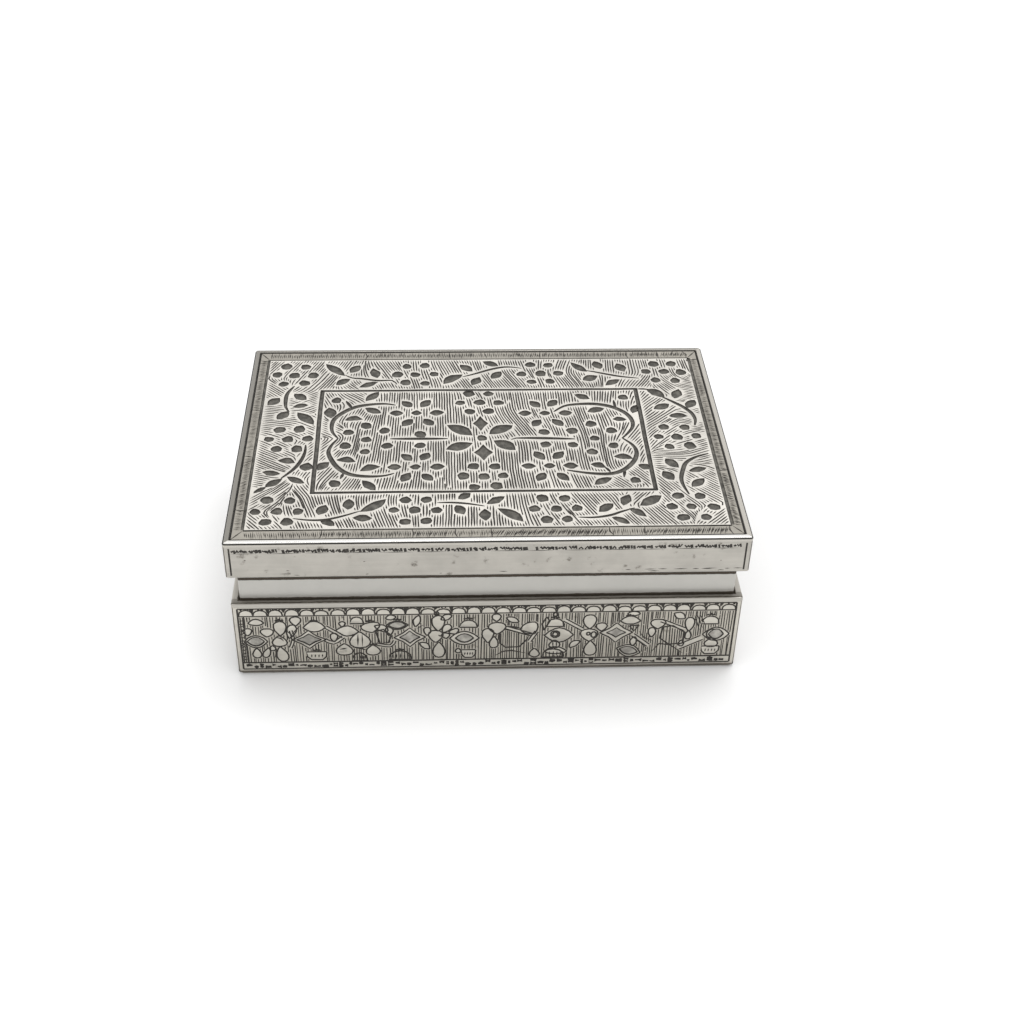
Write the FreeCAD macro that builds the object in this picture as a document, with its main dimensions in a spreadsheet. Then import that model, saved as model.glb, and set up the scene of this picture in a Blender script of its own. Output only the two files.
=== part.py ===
import FreeCAD, Part
import math
import os

import Sketcher
from FreeCAD import Placement, Rotation, Vector

# Sheet-silver box with double walls, a recessed neck and a lift-off lid.
# Origin: middle of the underside. +X right, +Y back, +Z up, millimetres.

doc = FreeCAD.newDocument("silver_box")
sheet = doc.addObject("Spreadsheet::Sheet", "sizes")

SIZES = (
    ("case_length", 159.2, "outside of the case walls, left to right"),
    ("case_width", 111.6, "outside of the case walls, front to back"),
    ("wall_height", 27.2, "engraved case walls, foot to rim"),
    ("wall_sheet", 1.0, "sheet of the case walls"),
    ("case_corner", 0.9, "rounding of the upright corners of the case"),
    ("foot_rounding", 0.8, "rounding of the lower edge of the case walls"),
    ("base_sheet", 0.6, "sheet of the base plate"),
    ("base_inset", 0.8, "base plate edge, back from the face of the walls"),
    ("rim_height", 1.4, "rim strip on top of the walls"),
    ("rim_rounding", 0.6, "rounding of the rim's outer edge"),
    ("rim_bevel", 0.4, "bevel of the rim along the neck"),
    ("neck_inset", 2.6, "face of the neck, back from the face of the walls"),
    ("neck_sheet", 0.9, "sheet of the neck walls"),
    ("neck_corner", 0.6, "rounding of the upright corners of the neck"),
    ("neck_band", 10.8, "neck that shows under the closed lid"),
    ("neck_rounding", 0.2, "rounding of the neck's upper edge"),
    ("lid_play", 1.0, "gap between neck and lid liner on each side"),
    ("liner_sheet", 1.0, "sheet of the lid liner"),
    ("liner_setback", 0.6, "liner foot, up from the foot of the skirt"),
    ("liner_lead", 0.5, "bevel at the liner foot that leads it over the neck"),
    ("skirt_sheet", 1.0, "sheet of the lid skirt"),
    ("skirt_height", 12.0, "lid skirt, foot to edge wire"),
    ("skirt_rounding", 0.5, "rounding of the skirt's lower edge"),
    ("lid_corner", 0.9, "rounding of the upright corners of the lid"),
    ("lid_sheet", 1.1, "sheet of the lid top"),
    ("top_corner", 0.3, "rounding of the corners of the lid top"),
    ("wire_width", 1.8, "edge wire round the lid top, across"),
    ("wire_step", 0.9, "lower step of the edge wire, up"),
    ("bead_rise", 0.5, "bead on the edge wire, up from its step"),
    ("bead_setback", 0.35, "bead, back from the face of the edge wire"),
    ("bead_corner", 0.5, "rounding of the bead's corners, seen from above"),
    ("bead_crown", 0.35, "rounding of the bead, outside"),
    ("bead_inner_crown", 0.25, "rounding of the bead, inside"),
    ("line_width", 0.8, "engraved frame lines, across"),
    ("line_depth", 0.2, "engraved frame lines, deep"),
    ("sunk_depth", 0.3, "sunk leaves and dots of the lid, deep"),
    ("border_ends", 3.9, "border band of the lid at its ends"),
    ("border_sides", 5.1, "border band of the lid along its long sides"),
    ("panel_length", 108.0, "inner panel of the lid, left to right"),
    ("panel_width", 59.4, "inner panel of the lid, front to back"),
    ("dot_size", 3.8, "sunk dot, corner to corner"),
    ("dot_step", 6.4, "dots in one row of a cluster, middle to middle"),
    ("dot_row", 5.6, "rows of dots in a cluster, middle to middle"),
    ("cluster_run", 43.0, "clusters along the border, middle to middle"),
    ("cluster_rise", 39.6, "clusters up the border, middle to middle"),
    ("panel_rise", 43.0, "clusters of the panel, middle to middle"),
    ("ring_run", 77.0, "dot rings inside the scrolls, middle to middle"),
    ("flower_run", 43.4, "flowers of the panel, left to right"),
    ("flower_rise", 31.4, "flowers of the panel, front to back"),
    ("leaf_length", 6.2, "sunk leaf, tip to tip"),
    ("leaf_width", 3.4, "sunk leaf, across"),
    ("stem_width", 1.1, "stems and scrolls, across"),
    ("petal_length", 9.8, "petal of the middle rosette, tip to tip"),
    ("petal_width", 4.6, "petal of the middle rosette, across"),
    ("lozenge_length", 9.2, "lozenge of the middle rosette, front to back"),
    ("lozenge_width", 5.6, "lozenge of the middle rosette, left to right"),
    ("scroll_run", 77.5, "middles of the scroll arms, left to right"),
    ("scroll_rise", 21.2, "middles of the scroll arms, front to back"),
    ("scroll_length", 27.2, "scroll arm, tip to tip"),
    ("scroll_bow", 9.9, "bow of a scroll arm between its tips"),
    ("frieze_ends", 0.8, "frieze frame, in from the ends of a wall"),
    ("frieze_top", 0.5, "frieze frame, down from the top of a wall"),
    ("frieze_foot", 1.9, "frieze frame, up from the foot of a wall"),
    ("scallop_band", 2.9, "scalloped band at the top of the frieze"),
    ("dotted_band", 2.7, "dotted band at the foot of the frieze"),
    ("skirt_band", 1.8, "worked band of the skirt, up"),
    ("skirt_band_top", 0.4, "worked band, down from the edge wire"),
    ("skirt_band_ends", 1.0, "worked band, in from the ends of a skirt wall"),
)

for row, (alias, size, meaning) in enumerate(SIZES, start=1):
    sheet.set(f"A{row}", alias)
    sheet.set(f"B{row}", str(size))
    sheet.set(f"C{row}", meaning)
    sheet.setAlias(f"B{row}", alias)
doc.recompute()

# Sizes that follow from the driving ones.
NECK_LENGTH = "(sizes.case_length - 2 * sizes.neck_inset)"
NECK_WIDTH = "(sizes.case_width - 2 * sizes.neck_inset)"
LID_REACH = "(sizes.lid_play + sizes.liner_sheet + sizes.skirt_sheet)"
LID_LENGTH = f"({NECK_LENGTH} + 2 * {LID_REACH})"
LID_WIDTH = f"({NECK_WIDTH} + 2 * {LID_REACH})"
LINER_LENGTH = f"({LID_LENGTH} - 2 * sizes.skirt_sheet)"
LINER_WIDTH = f"({LID_WIDTH} - 2 * sizes.skirt_sheet)"
RIM_FOOT = "(sizes.base_sheet + sizes.wall_height)"
SKIRT_FOOT = f"({RIM_FOOT} + sizes.rim_height + sizes.neck_band)"
LINER_FOOT = f"({SKIRT_FOOT} + sizes.liner_setback)"
LINER_HEIGHT = "(sizes.skirt_height - sizes.liner_setback)"
LID_SEAT = f"({SKIRT_FOOT} + sizes.skirt_height)"
NECK_HEIGHT = f"({LID_SEAT} - sizes.base_sheet)"
TOP_LENGTH = f"({LID_LENGTH} - 2 * sizes.wire_width)"
TOP_WIDTH = f"({LID_WIDTH} - 2 * sizes.wire_width)"
BASE_LENGTH = "(sizes.case_length - 2 * sizes.base_inset)"
BASE_WIDTH = "(sizes.case_width - 2 * sizes.base_inset)"
WIRE_HEIGHT = "(sizes.wire_step + sizes.bead_rise)"

# Each side of the box, with its turn about +Z from the front.
SIDES = (("front", 0), ("right", 90), ("back", 180), ("left", 270))
SHARP = 1e-4

# Dots of a cluster, in dot steps and dot rows from its middle.
CLUSTER = ((-0.5, 1), (0.5, 1), (-1, 0), (0, 0), (1, 0), (-0.5, -1), (0.5, -1))
DOT_CORNERS = 6
# Leaves of a flower and of a spray, in leaf lengths from the middle, with their angles.
FLOWER = ((0, 0, 0), (-1.1, 0, 0), (1.1, 0, 0), (-0.5, 0.93, -54), (0.5, 0.93, 54), (-0.5, -0.93, 54),
          (0.5, -0.93, -54))
SPRAY = ((-1.0, 0.85, -48), (0.15, 0.95, 58), (-0.75, -0.7, 40), (0.65, -0.95, 30))
SPRAY_STEM = (0.1, 0, -8)
# Corners of a leaf, in leaf lengths along it and leaf widths across it.
LEAF_CORNERS = ((0.5, 0), (0.16, 0.5), (-0.16, 0.5), (-0.5, 0), (-0.16, -0.5), (0.16, -0.5))
SPRAY_STEM_LENGTH = 2.6
SPRAY_STEM_BOW = 0.15
# Petals of the rosette, in petal lengths from the middle, with the angle of the first.
PETAL_PLACE = (0.72, 0.48)
PETAL_ANGLE = 35
LOZENGE_PLACE = 0.92
# Middle and length of the lines on the panel's axis, in flower runs.
AXIS_PLACE = 0.49
AXIS_LENGTH = 0.43
SCROLL_ANGLE = 47


def value(expression):
    return float(sheet.evalExpression(expression))


def origin_plane(body, role):
    return next(item for item in body.Origin.OriginFeatures if item.Role == role)


def new_body(label, foot, turn=0):
    """A body whose own XY plane lies at the height foot, turned about +Z."""
    body = doc.addObject("PartDesign::Body", label)
    body.Label = label
    body.Placement = Placement(Vector(0, 0, value(foot)), Rotation(Vector(0, 0, 1), turn))
    body.setExpression("Placement.Base.z", foot)
    return body


def new_sketch(body, name, plane="XY_Plane", offset=None):
    """A sketch on one of the body's own planes, moved along that plane's normal by the offset."""
    sketch = body.newObject("Sketcher::SketchObject", f"{body.Name}_{name}")
    sketch.AttachmentSupport = [(origin_plane(body, plane), "")]
    sketch.MapMode = "FlatFace"
    if offset:
        sketch.setExpression("AttachmentOffset.Base.z", offset)
    return sketch


def constrain(sketch, kind, *numbers, size=None):
    """Add a constraint, bound to the expression size where it is a dimension."""
    if size is None:
        return sketch.addConstraint(Sketcher.Constraint(kind, *numbers))
    index = sketch.addConstraint(Sketcher.Constraint(kind, *numbers, value(size)))
    sketch.setExpression(f"Constraints[{index}]", size)
    return index


def pad(body, sketch, height):
    feature = body.newObject("PartDesign::Pad", f"{sketch.Name}_pad")
    feature.Profile = sketch
    feature.setExpression("Length", height)
    doc.recompute()
    return feature


def sink(body, sketch, depth):
    """Cut a sketch into the face that it lies on."""
    volume = body.Tip.Shape.Volume
    feature = body.newObject("PartDesign::Pocket", f"{sketch.Name}_cut")
    feature.Profile = sketch
    feature.setExpression("Length", depth)
    doc.recompute()
    if not feature.Shape.Volume < volume:
        raise RuntimeError(f"{feature.Name} cuts nothing")
    return feature


def repeat(body, sketch, cut, columns, run, rows, rise):
    """Repeat a cut in columns over the whole length run and in rows over the whole length rise."""
    volume = body.Tip.Shape.Volume
    pattern = body.newObject("PartDesign::LinearPattern", f"{sketch.Name}_pattern")
    pattern.Originals = [cut]
    pattern.Direction = (sketch, ["H_Axis"])
    pattern.Occurrences = columns
    pattern.setExpression("Length", run)
    pattern.Direction2 = (sketch, ["V_Axis"])
    pattern.Occurrences2 = rows
    pattern.setExpression("Length2", rise)
    body.Tip = pattern
    doc.recompute()
    if not pattern.Shape.Volume < volume:
        raise RuntimeError(f"{pattern.Name} cuts nothing")


def hold(sketch, line, end, x, y):
    """Hold one end of a line or an arc at x, y."""
    constrain(sketch, "DistanceX", line, end, size=x)
    constrain(sketch, "DistanceY", line, end, size=y)


def polygon(sketch, corners):
    """A closed outline through corners that are given as expressions for x and y."""
    places = [Vector(value(x), value(y), 0) for x, y in corners]
    lines = []
    for start, stop in zip(places, places[1:] + places[:1]):
        lines.append(sketch.addGeometry(Part.LineSegment(start, stop)))
    for line, following, (x, y) in zip(lines, lines[1:] + lines[:1], corners):
        constrain(sketch, "Coincident", line, 2, following, 1)
        hold(sketch, line, 1, x, y)


def rectangle(sketch, low_x, low_y, high_x, high_y):
    polygon(sketch, ((low_x, low_y), (high_x, low_y), (high_x, high_y), (low_x, high_y)))


def frame_line(sketch, half_length, half_width):
    """A frame line whose outer edge is a rectangle round the sketch's middle."""
    for inset in ("0", "sizes.line_width"):
        x = f"({half_length} - {inset})"
        y = f"({half_width} - {inset})"
        rectangle(sketch, f"-{x}", f"-{y}", x, y)


def dot(sketch, x, y):
    """A sunk dot with the corners that its punch leaves."""
    corners = []
    for corner in range(DOT_CORNERS):
        angle = 2 * math.pi * corner / DOT_CORNERS
        corners.append((f"({x} + {math.cos(angle):.6f} * sizes.dot_size / 2)",
                        f"({y} + {math.sin(angle):.6f} * sizes.dot_size / 2)"))
    polygon(sketch, corners)


def leaf(sketch, x, y, angle, length, width):
    """A leaf as the graver leaves it, with two points and two flat sides."""
    c, s = math.cos(math.radians(angle)), math.sin(math.radians(angle))
    corners = []
    for along, across in LEAF_CORNERS:
        corners.append((f"({x} + {c * along:.6f} * {length} - {s * across:.6f} * {width})",
                        f"({y} + {s * along:.6f} * {length} + {c * across:.6f} * {width})"))
    polygon(sketch, corners)


def blade(sketch, x, y, angle, length, width, bow):
    """A stem between two points, whose middle line rises by bow to the left of its run."""
    run = Vector(math.cos(math.radians(angle)), math.sin(math.radians(angle)), 0)
    left = Vector(-run.y, run.x, 0)
    middle = Vector(value(x), value(y), 0)
    half = value(length) / 2
    tips = (middle + run * half, middle - run * half)
    arcs = []
    for side in (1, -1):
        rise = f"({bow} + {side} * {width} / 2)"
        radius = f"(({length} * {length} / 4 + {rise} * {rise}) / (2 * abs({rise})))"
        height = value(rise)
        centre = middle + left * (height - math.copysign(value(radius), height))
        start, stop = tips if height > 0 else tips[::-1]
        angles = [math.atan2(tip.y - centre.y, tip.x - centre.x) for tip in (start, stop)]
        circle = Part.Circle(centre, Vector(0, 0, 1), value(radius))
        arc = sketch.addGeometry(Part.ArcOfCircle(circle, *angles))
        constrain(sketch, "Radius", arc, size=radius)
        arcs.append((arc, (1, 2) if height > 0 else (2, 1)))
    (first, first_ends), (second, second_ends) = arcs
    for sign, first_end, second_end in zip((1, -1), first_ends, second_ends):
        constrain(sketch, "Coincident", first, first_end, second, second_end)
        hold(sketch, first, first_end, f"({x} + {sign * run.x:.6f} * {length} / 2)",
             f"({y} + {sign * run.y:.6f} * {length} / 2)")


def outer_edge(feature, across, height):
    """Name of the long edge along X that lies at y = -across and z = height."""
    for number, edge in enumerate(feature.Shape.Edges, start=1):
        middle = edge.CenterOfMass
        level = max(abs(vertex.Z - height) for vertex in edge.Vertexes)
        straight = max(abs(vertex.Y + across) for vertex in edge.Vertexes)
        if level < SHARP and straight < SHARP and abs(middle.x) < SHARP:
            return f"Edge{number}"
    raise RuntimeError(f"{feature.Name} has no edge at {across}, {height}")


def dress(body, kind, name, edge, size):
    """Round (Fillet) or bevel (Chamfer) one long edge and the arcs that run on from it."""
    base = body.Tip
    feature = body.newObject(f"PartDesign::{kind}", f"{body.Name}_{name}")
    feature.Base = (base, [edge])
    feature.setExpression("Radius" if kind == "Fillet" else "Size", size)
    doc.recompute()
    return feature


def along_and_across(turn, length, width):
    """A ring's size along one of its walls, and across to the wall opposite."""
    return (length, width) if turn % 180 == 0 else (width, length)


def mitred_plan(sketch, along, across, thickness, corner):
    """Plan of one wall of a rectangular ring: 45 degree ends and half of each rounded corner."""
    radius = value(corner)
    half = value(along) / 2 - radius
    front = -value(across) / 2
    inner = value(along) / 2 - value(thickness)
    inner_line = front + value(thickness)
    up = Vector(0, 0, 1)
    right_middle = Vector(half, front + radius, 0)
    left_middle = Vector(-half, front + radius, 0)
    slant = radius / math.sqrt(2)
    right_end = right_middle + Vector(slant, -slant, 0)
    left_end = left_middle + Vector(-slant, -slant, 0)
    right_inner = Vector(inner, inner_line, 0)
    left_inner = Vector(-inner, inner_line, 0)
    eighth = math.pi / 4
    face = sketch.addGeometry(Part.LineSegment(Vector(-half, front, 0), Vector(half, front, 0)))
    right_arc = sketch.addGeometry(
        Part.ArcOfCircle(Part.Circle(right_middle, up, radius), 6 * eighth, 7 * eighth))
    right_mitre = sketch.addGeometry(Part.LineSegment(right_end, right_inner))
    inside = sketch.addGeometry(Part.LineSegment(right_inner, left_inner))
    left_mitre = sketch.addGeometry(Part.LineSegment(left_inner, left_end))
    left_arc = sketch.addGeometry(
        Part.ArcOfCircle(Part.Circle(left_middle, up, radius), 5 * eighth, 6 * eighth))
    start, end, middle = 1, 2, 3
    x_axis, y_axis = -1, -2
    constrain(sketch, "Tangent", face, end, right_arc, start)
    constrain(sketch, "Tangent", left_arc, end, face, start)
    constrain(sketch, "Coincident", right_arc, end, right_mitre, start)
    constrain(sketch, "Coincident", right_mitre, end, inside, start)
    constrain(sketch, "Coincident", inside, end, left_mitre, start)
    constrain(sketch, "Coincident", left_mitre, end, left_arc, start)
    constrain(sketch, "PointOnObject", right_arc, middle, right_mitre)
    constrain(sketch, "PointOnObject", left_arc, middle, left_mitre)
    constrain(sketch, "Symmetric", face, start, face, end, y_axis)
    constrain(sketch, "Symmetric", inside, start, inside, end, y_axis)
    constrain(sketch, "Equal", right_arc, left_arc)
    constrain(sketch, "Radius", right_arc, size=corner)
    constrain(sketch, "DistanceY", face, start, x_axis, start, size=f"{across} / 2")
    constrain(sketch, "DistanceY", face, start, inside, start, size=thickness)
    constrain(sketch, "DistanceX", face, start, face, end, size=f"{along} - 2 * {corner}")
    constrain(sketch, "DistanceX", inside, end, inside, start, size=f"{along} - 2 * {thickness}")


def mitred_strip(label, turn, length, width, thickness, corner, height, foot):
    """One wall of a ring that measures length by width outside, and how far out its face lies."""
    along, across = along_and_across(turn, length, width)
    body = new_body(label, foot, turn)
    sketch = new_sketch(body, "plan")
    mitred_plan(sketch, along, across, thickness, corner)
    pad(body, sketch, height)
    return body, value(across) / 2


def rounded_plate(label, length, width, corner, thickness, foot):
    """A flat plate with rounded corners, centred on the box."""
    body = new_body(label, foot)
    sketch = new_sketch(body, "plan")
    radius = value(corner)
    x = value(length) / 2 - radius
    y = value(width) / 2 - radius
    reach = Vector(radius, 0, 0)
    rise = Vector(0, radius, 0)
    corners = (Vector(x, -y, 0), Vector(x, y, 0), Vector(-x, y, 0), Vector(-x, -y, 0))
    outward = (-rise, reach, rise, -reach)
    lines = []
    arcs = []
    for turn in range(4):
        begin = corners[turn - 1] + outward[turn]
        finish = corners[turn] + outward[turn]
        lines.append(sketch.addGeometry(Part.LineSegment(begin, finish)))
        round_off = Part.Circle(corners[turn], Vector(0, 0, 1), radius)
        angle = (turn - 1) * math.pi / 2
        arcs.append(sketch.addGeometry(Part.ArcOfCircle(round_off, angle, angle + math.pi / 2)))
    for turn in range(4):
        constrain(sketch, "Tangent", lines[turn], 2, arcs[turn], 1)
        constrain(sketch, "Tangent", arcs[turn], 2, lines[(turn + 1) % 4], 1)
        constrain(sketch, "Vertical" if turn % 2 else "Horizontal", lines[turn])
    for arc in arcs[1:]:
        constrain(sketch, "Equal", arcs[0], arc)
    constrain(sketch, "Symmetric", arcs[0], 3, arcs[2], 3, -1, 1)
    constrain(sketch, "Radius", arcs[0], size=corner)
    constrain(sketch, "DistanceX", arcs[3], 3, arcs[0], 3, size=f"{length} - 2 * {corner}")
    constrain(sketch, "DistanceY", arcs[0], 3, arcs[1], 3, size=f"{width} - 2 * {corner}")
    pad(body, sketch, thickness)
    return body


def case_wall(side, turn):
    body, face = mitred_strip(f"case_{side}", turn, "sizes.case_length", "sizes.case_width",
                              "sizes.wall_sheet", "sizes.case_corner", "sizes.wall_height",
                              "sizes.base_sheet")
    dress(body, "Fillet", "foot", outer_edge(body.Tip, face, 0), "sizes.foot_rounding")
    frieze_lines(body, *along_and_across(turn, "sizes.case_length", "sizes.case_width"))
    return body


def frieze_lines(body, along, across):
    """Frame line round the frieze, and the rules under its scallops and over its dotted foot."""
    sketch = new_sketch(body, "frieze", "XZ_Plane", f"{across} / 2")
    line = "sizes.line_width"
    foot = "sizes.frieze_foot"
    top = "(sizes.wall_height - sizes.frieze_top)"
    half = f"({along} / 2 - sizes.frieze_ends)"
    rectangle(sketch, f"-{half}", foot, half, top)
    rectangle(sketch, f"-({half} - {line})", f"({foot} + {line})", f"({half} - {line})", f"({top} - {line})")
    for low in (f"({foot} + sizes.dotted_band)", f"({top} - sizes.scallop_band - {line})"):
        rectangle(sketch, f"-({half} - 2 * {line})", low, f"({half} - 2 * {line})", f"({low} + {line})")
    sink(body, sketch, "sizes.line_depth")


def rim_strip(side, turn):
    body, face = mitred_strip(f"rim_{side}", turn, "sizes.case_length", "sizes.case_width",
                              "sizes.neck_inset", "sizes.case_corner", "sizes.rim_height", RIM_FOOT)
    top = value("sizes.rim_height")
    inside = face - value("sizes.neck_inset")
    dress(body, "Fillet", "outer", outer_edge(body.Tip, face, top), "sizes.rim_rounding")
    dress(body, "Chamfer", "groove", outer_edge(body.Tip, inside, top), "sizes.rim_bevel")
    return body


def neck_wall(side, turn):
    body, face = mitred_strip(f"neck_{side}", turn, NECK_LENGTH, NECK_WIDTH, "sizes.neck_sheet",
                              "sizes.neck_corner", NECK_HEIGHT, "sizes.base_sheet")
    top = value(NECK_HEIGHT)
    dress(body, "Fillet", "outer", outer_edge(body.Tip, face, top), "sizes.neck_rounding")
    return body


def skirt_wall(side, turn):
    body, face = mitred_strip(f"skirt_{side}", turn, LID_LENGTH, LID_WIDTH, "sizes.skirt_sheet",
                              "sizes.lid_corner", "sizes.skirt_height", SKIRT_FOOT)
    dress(body, "Fillet", "foot", outer_edge(body.Tip, face, 0), "sizes.skirt_rounding")
    along, across = along_and_across(turn, LID_LENGTH, LID_WIDTH)
    sketch = new_sketch(body, "band", "XZ_Plane", f"{across} / 2")
    half = f"({along} / 2 - sizes.skirt_band_ends)"
    top = "(sizes.skirt_height - sizes.skirt_band_top)"
    rectangle(sketch, f"-{half}", f"({top} - sizes.skirt_band)", half, top)
    sink(body, sketch, "sizes.line_depth")
    return body


def liner_strip(side, turn):
    body, face = mitred_strip(f"liner_{side}", turn, LINER_LENGTH, LINER_WIDTH, "sizes.liner_sheet",
                              "sizes.neck_corner", LINER_HEIGHT, LINER_FOOT)
    inside = face - value("sizes.liner_sheet")
    dress(body, "Chamfer", "lead", outer_edge(body.Tip, inside, 0), "sizes.liner_lead")
    return body


def edge_wire(side, turn):
    """A stepped wire: a square strip with a rounded bead on it."""
    body, face = mitred_strip(f"edge_wire_{side}", turn, LID_LENGTH, LID_WIDTH, "sizes.wire_width",
                              "sizes.lid_corner", "sizes.wire_step", LID_SEAT)
    setback = "sizes.bead_setback"
    along, across = along_and_across(turn, LID_LENGTH, LID_WIDTH)
    sketch = new_sketch(body, "bead", offset="sizes.wire_step")
    mitred_plan(sketch, f"({along} - 2 * {setback})", f"({across} - 2 * {setback})",
                f"(sizes.wire_width - {setback})", "sizes.bead_corner")
    pad(body, sketch, "sizes.bead_rise")
    top = value(WIRE_HEIGHT)
    outside = face - value(setback)
    inside = face - value("sizes.wire_width")
    dress(body, "Fillet", "crown", outer_edge(body.Tip, outside, top), "sizes.bead_crown")
    dress(body, "Fillet", "inner", outer_edge(body.Tip, inside, top), "sizes.bead_inner_crown")
    return body


def engraved_top():
    """The lid top with its frame lines and, inside them, the sunk flowers, sprays and dots."""
    body = rounded_plate("lid_top", TOP_LENGTH, TOP_WIDTH, "sizes.top_corner", "sizes.lid_sheet", LID_SEAT)
    lines = new_sketch(body, "lines", offset="sizes.lid_sheet")
    frame_line(lines, f"({TOP_LENGTH} / 2 - sizes.border_ends)", f"({TOP_WIDTH} / 2 - sizes.border_sides)")
    frame_line(lines, "(sizes.panel_length / 2)", "(sizes.panel_width / 2)")
    sink(body, lines, "sizes.line_depth")
    middle = new_sketch(body, "rosette", offset="sizes.lid_sheet")
    rosette(middle)
    sink(body, middle, "sizes.sunk_depth")
    for motif in (panel_clusters, end_clusters, dot_rings, panel_flowers, end_sprays, long_sprays,
                  border_clusters):
        motif(body)
    return body


def cluster(body, name, x, y, columns, run, rows, rise, upright=False):
    """Seven dots, repeated from the cluster at x, y; an upright one has its rows front to back."""
    sketch = new_sketch(body, name, offset="sizes.lid_sheet")
    for step, row in CLUSTER:
        along = f"{step} * sizes.dot_step"
        across = f"{row} * sizes.dot_row"
        if upright:
            along, across = across, along
        dot(sketch, f"({x} + {along})", f"({y} + {across})")
    repeat(body, sketch, sink(body, sketch, "sizes.sunk_depth"), columns, run, rows, rise)


def border_clusters(body):
    cluster(body, "border_dots", "(-1.5 * sizes.cluster_run)", "(-sizes.cluster_rise)",
            4, "3 * sizes.cluster_run", 2, "2 * sizes.cluster_rise")


def end_clusters(body):
    cluster(body, "end_dots", "(-1.5 * sizes.cluster_run)", "0", 2, "3 * sizes.cluster_run", 1, "1")


def panel_clusters(body):
    cluster(body, "panel_dots", "0", "(-sizes.panel_rise / 2)", 1, "1", 2, "sizes.panel_rise")


def dot_rings(body):
    cluster(body, "ring_dots", "(-sizes.ring_run / 2)", "0", 2, "sizes.ring_run", 1, "1", upright=True)


def leaves(sketch, x, y, group, turn=0):
    """The leaves of a group round x, y, all turned by the same angle."""
    c, s = math.cos(math.radians(turn)), math.sin(math.radians(turn))
    for along, up, angle in group:
        leaf(sketch, f"({x} + {c * along - s * up:.6f} * sizes.leaf_length)",
             f"({y} + {s * along + c * up:.6f} * sizes.leaf_length)",
             angle + turn, "sizes.leaf_length", "sizes.leaf_width")


def panel_flowers(body):
    sketch = new_sketch(body, "flower", offset="sizes.lid_sheet")
    leaves(sketch, "(-sizes.flower_run / 2)", "(-sizes.flower_rise / 2)", FLOWER)
    repeat(body, sketch, sink(body, sketch, "sizes.sunk_depth"), 2, "sizes.flower_run", 2, "sizes.flower_rise")


def spray(body, name, x, y, turn, columns, run, rows, rise):
    """A stem with leaves on both sides, repeated from the one at x, y."""
    sketch = new_sketch(body, name, offset="sizes.lid_sheet")
    leaves(sketch, x, y, SPRAY, turn)
    along, up, angle = SPRAY_STEM
    c, s = math.cos(math.radians(turn)), math.sin(math.radians(turn))
    blade(sketch, f"({x} + {c * along - s * up:.6f} * sizes.leaf_length)",
          f"({y} + {s * along + c * up:.6f} * sizes.leaf_length)", angle + turn,
          f"({SPRAY_STEM_LENGTH} * sizes.leaf_length)", "sizes.stem_width",
          f"({SPRAY_STEM_BOW} * sizes.leaf_length)")
    repeat(body, sketch, sink(body, sketch, "sizes.sunk_depth"), columns, run, rows, rise)


def long_sprays(body):
    spray(body, "long_spray", "(-sizes.cluster_run)", "(-sizes.cluster_rise)", 0,
          3, "2 * sizes.cluster_run", 2, "2 * sizes.cluster_rise")


def end_sprays(body):
    spray(body, "end_spray", "(-1.5 * sizes.cluster_run)", "(-sizes.cluster_rise / 2)", 90,
          2, "3 * sizes.cluster_run", 2, "sizes.cluster_rise")


def rosette(sketch):
    """Middle of the panel: a dot, two lozenges, four petals, the axis lines and the four scroll arms."""
    dot(sketch, "0", "0")
    half_length = "sizes.lozenge_length / 2"
    half_width = "sizes.lozenge_width / 2"
    for up in (1, -1):
        y = f"{up * LOZENGE_PLACE} * sizes.lozenge_length"
        polygon(sketch, ((half_width, y), ("0", f"{y} + {half_length}"), (f"-{half_width}", y),
                         ("0", f"{y} - {half_length}")))
    for side in (1, -1):
        leaf(sketch, f"{side * AXIS_PLACE} * sizes.flower_run", "0", 0,
             f"({AXIS_LENGTH} * sizes.flower_run)", "sizes.stem_width")
        for up in (1, -1):
            along, rise = PETAL_PLACE
            leaf(sketch, f"{side * along} * sizes.petal_length", f"{up * rise} * sizes.petal_length",
                 side * up * PETAL_ANGLE, "sizes.petal_length", "sizes.petal_width")
            angle = SCROLL_ANGLE if up == 1 else 180 - SCROLL_ANGLE
            blade(sketch, f"{side} * sizes.scroll_run / 2", f"{up} * sizes.scroll_rise / 2", -side * angle,
                  "sizes.scroll_length", "sizes.stem_width", "sizes.scroll_bow")


parts = [rounded_plate("base_plate", BASE_LENGTH, BASE_WIDTH, "sizes.case_corner",
                       "sizes.base_sheet", "0")]
for piece in (case_wall, rim_strip, neck_wall, skirt_wall, liner_strip, edge_wire):
    for side, turn in SIDES:
        parts.append(piece(side, turn))
parts.append(engraved_top())

doc.recompute()
for item in doc.Objects:
    if "Invalid" in item.State or "Error" in item.State:
        raise RuntimeError(f"{item.Name} failed: {item.State}")
os.makedirs("parts", exist_ok=True)
for part in parts:
    shape = part.Shape
    if shape.isNull() or not shape.isValid() or len(shape.Solids) != 1:
        raise RuntimeError(f"{part.Label} is not one valid solid")
    shape.exportStep(f"parts/{part.Label}.step")
    print(part.Label, round(shape.Volume, 2), shape.BoundBox)
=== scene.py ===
"""Dresses the silver box: engraved lid, frieze walls, polished neck and edges, stage and camera."""

import math
import random

import bpy
import numpy as np
from bpy.props import FloatProperty, FloatVectorProperty, IntProperty, PointerProperty
from mathutils import Matrix, Vector
from mathutils.geometry import delaunay_2d_cdt


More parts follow.
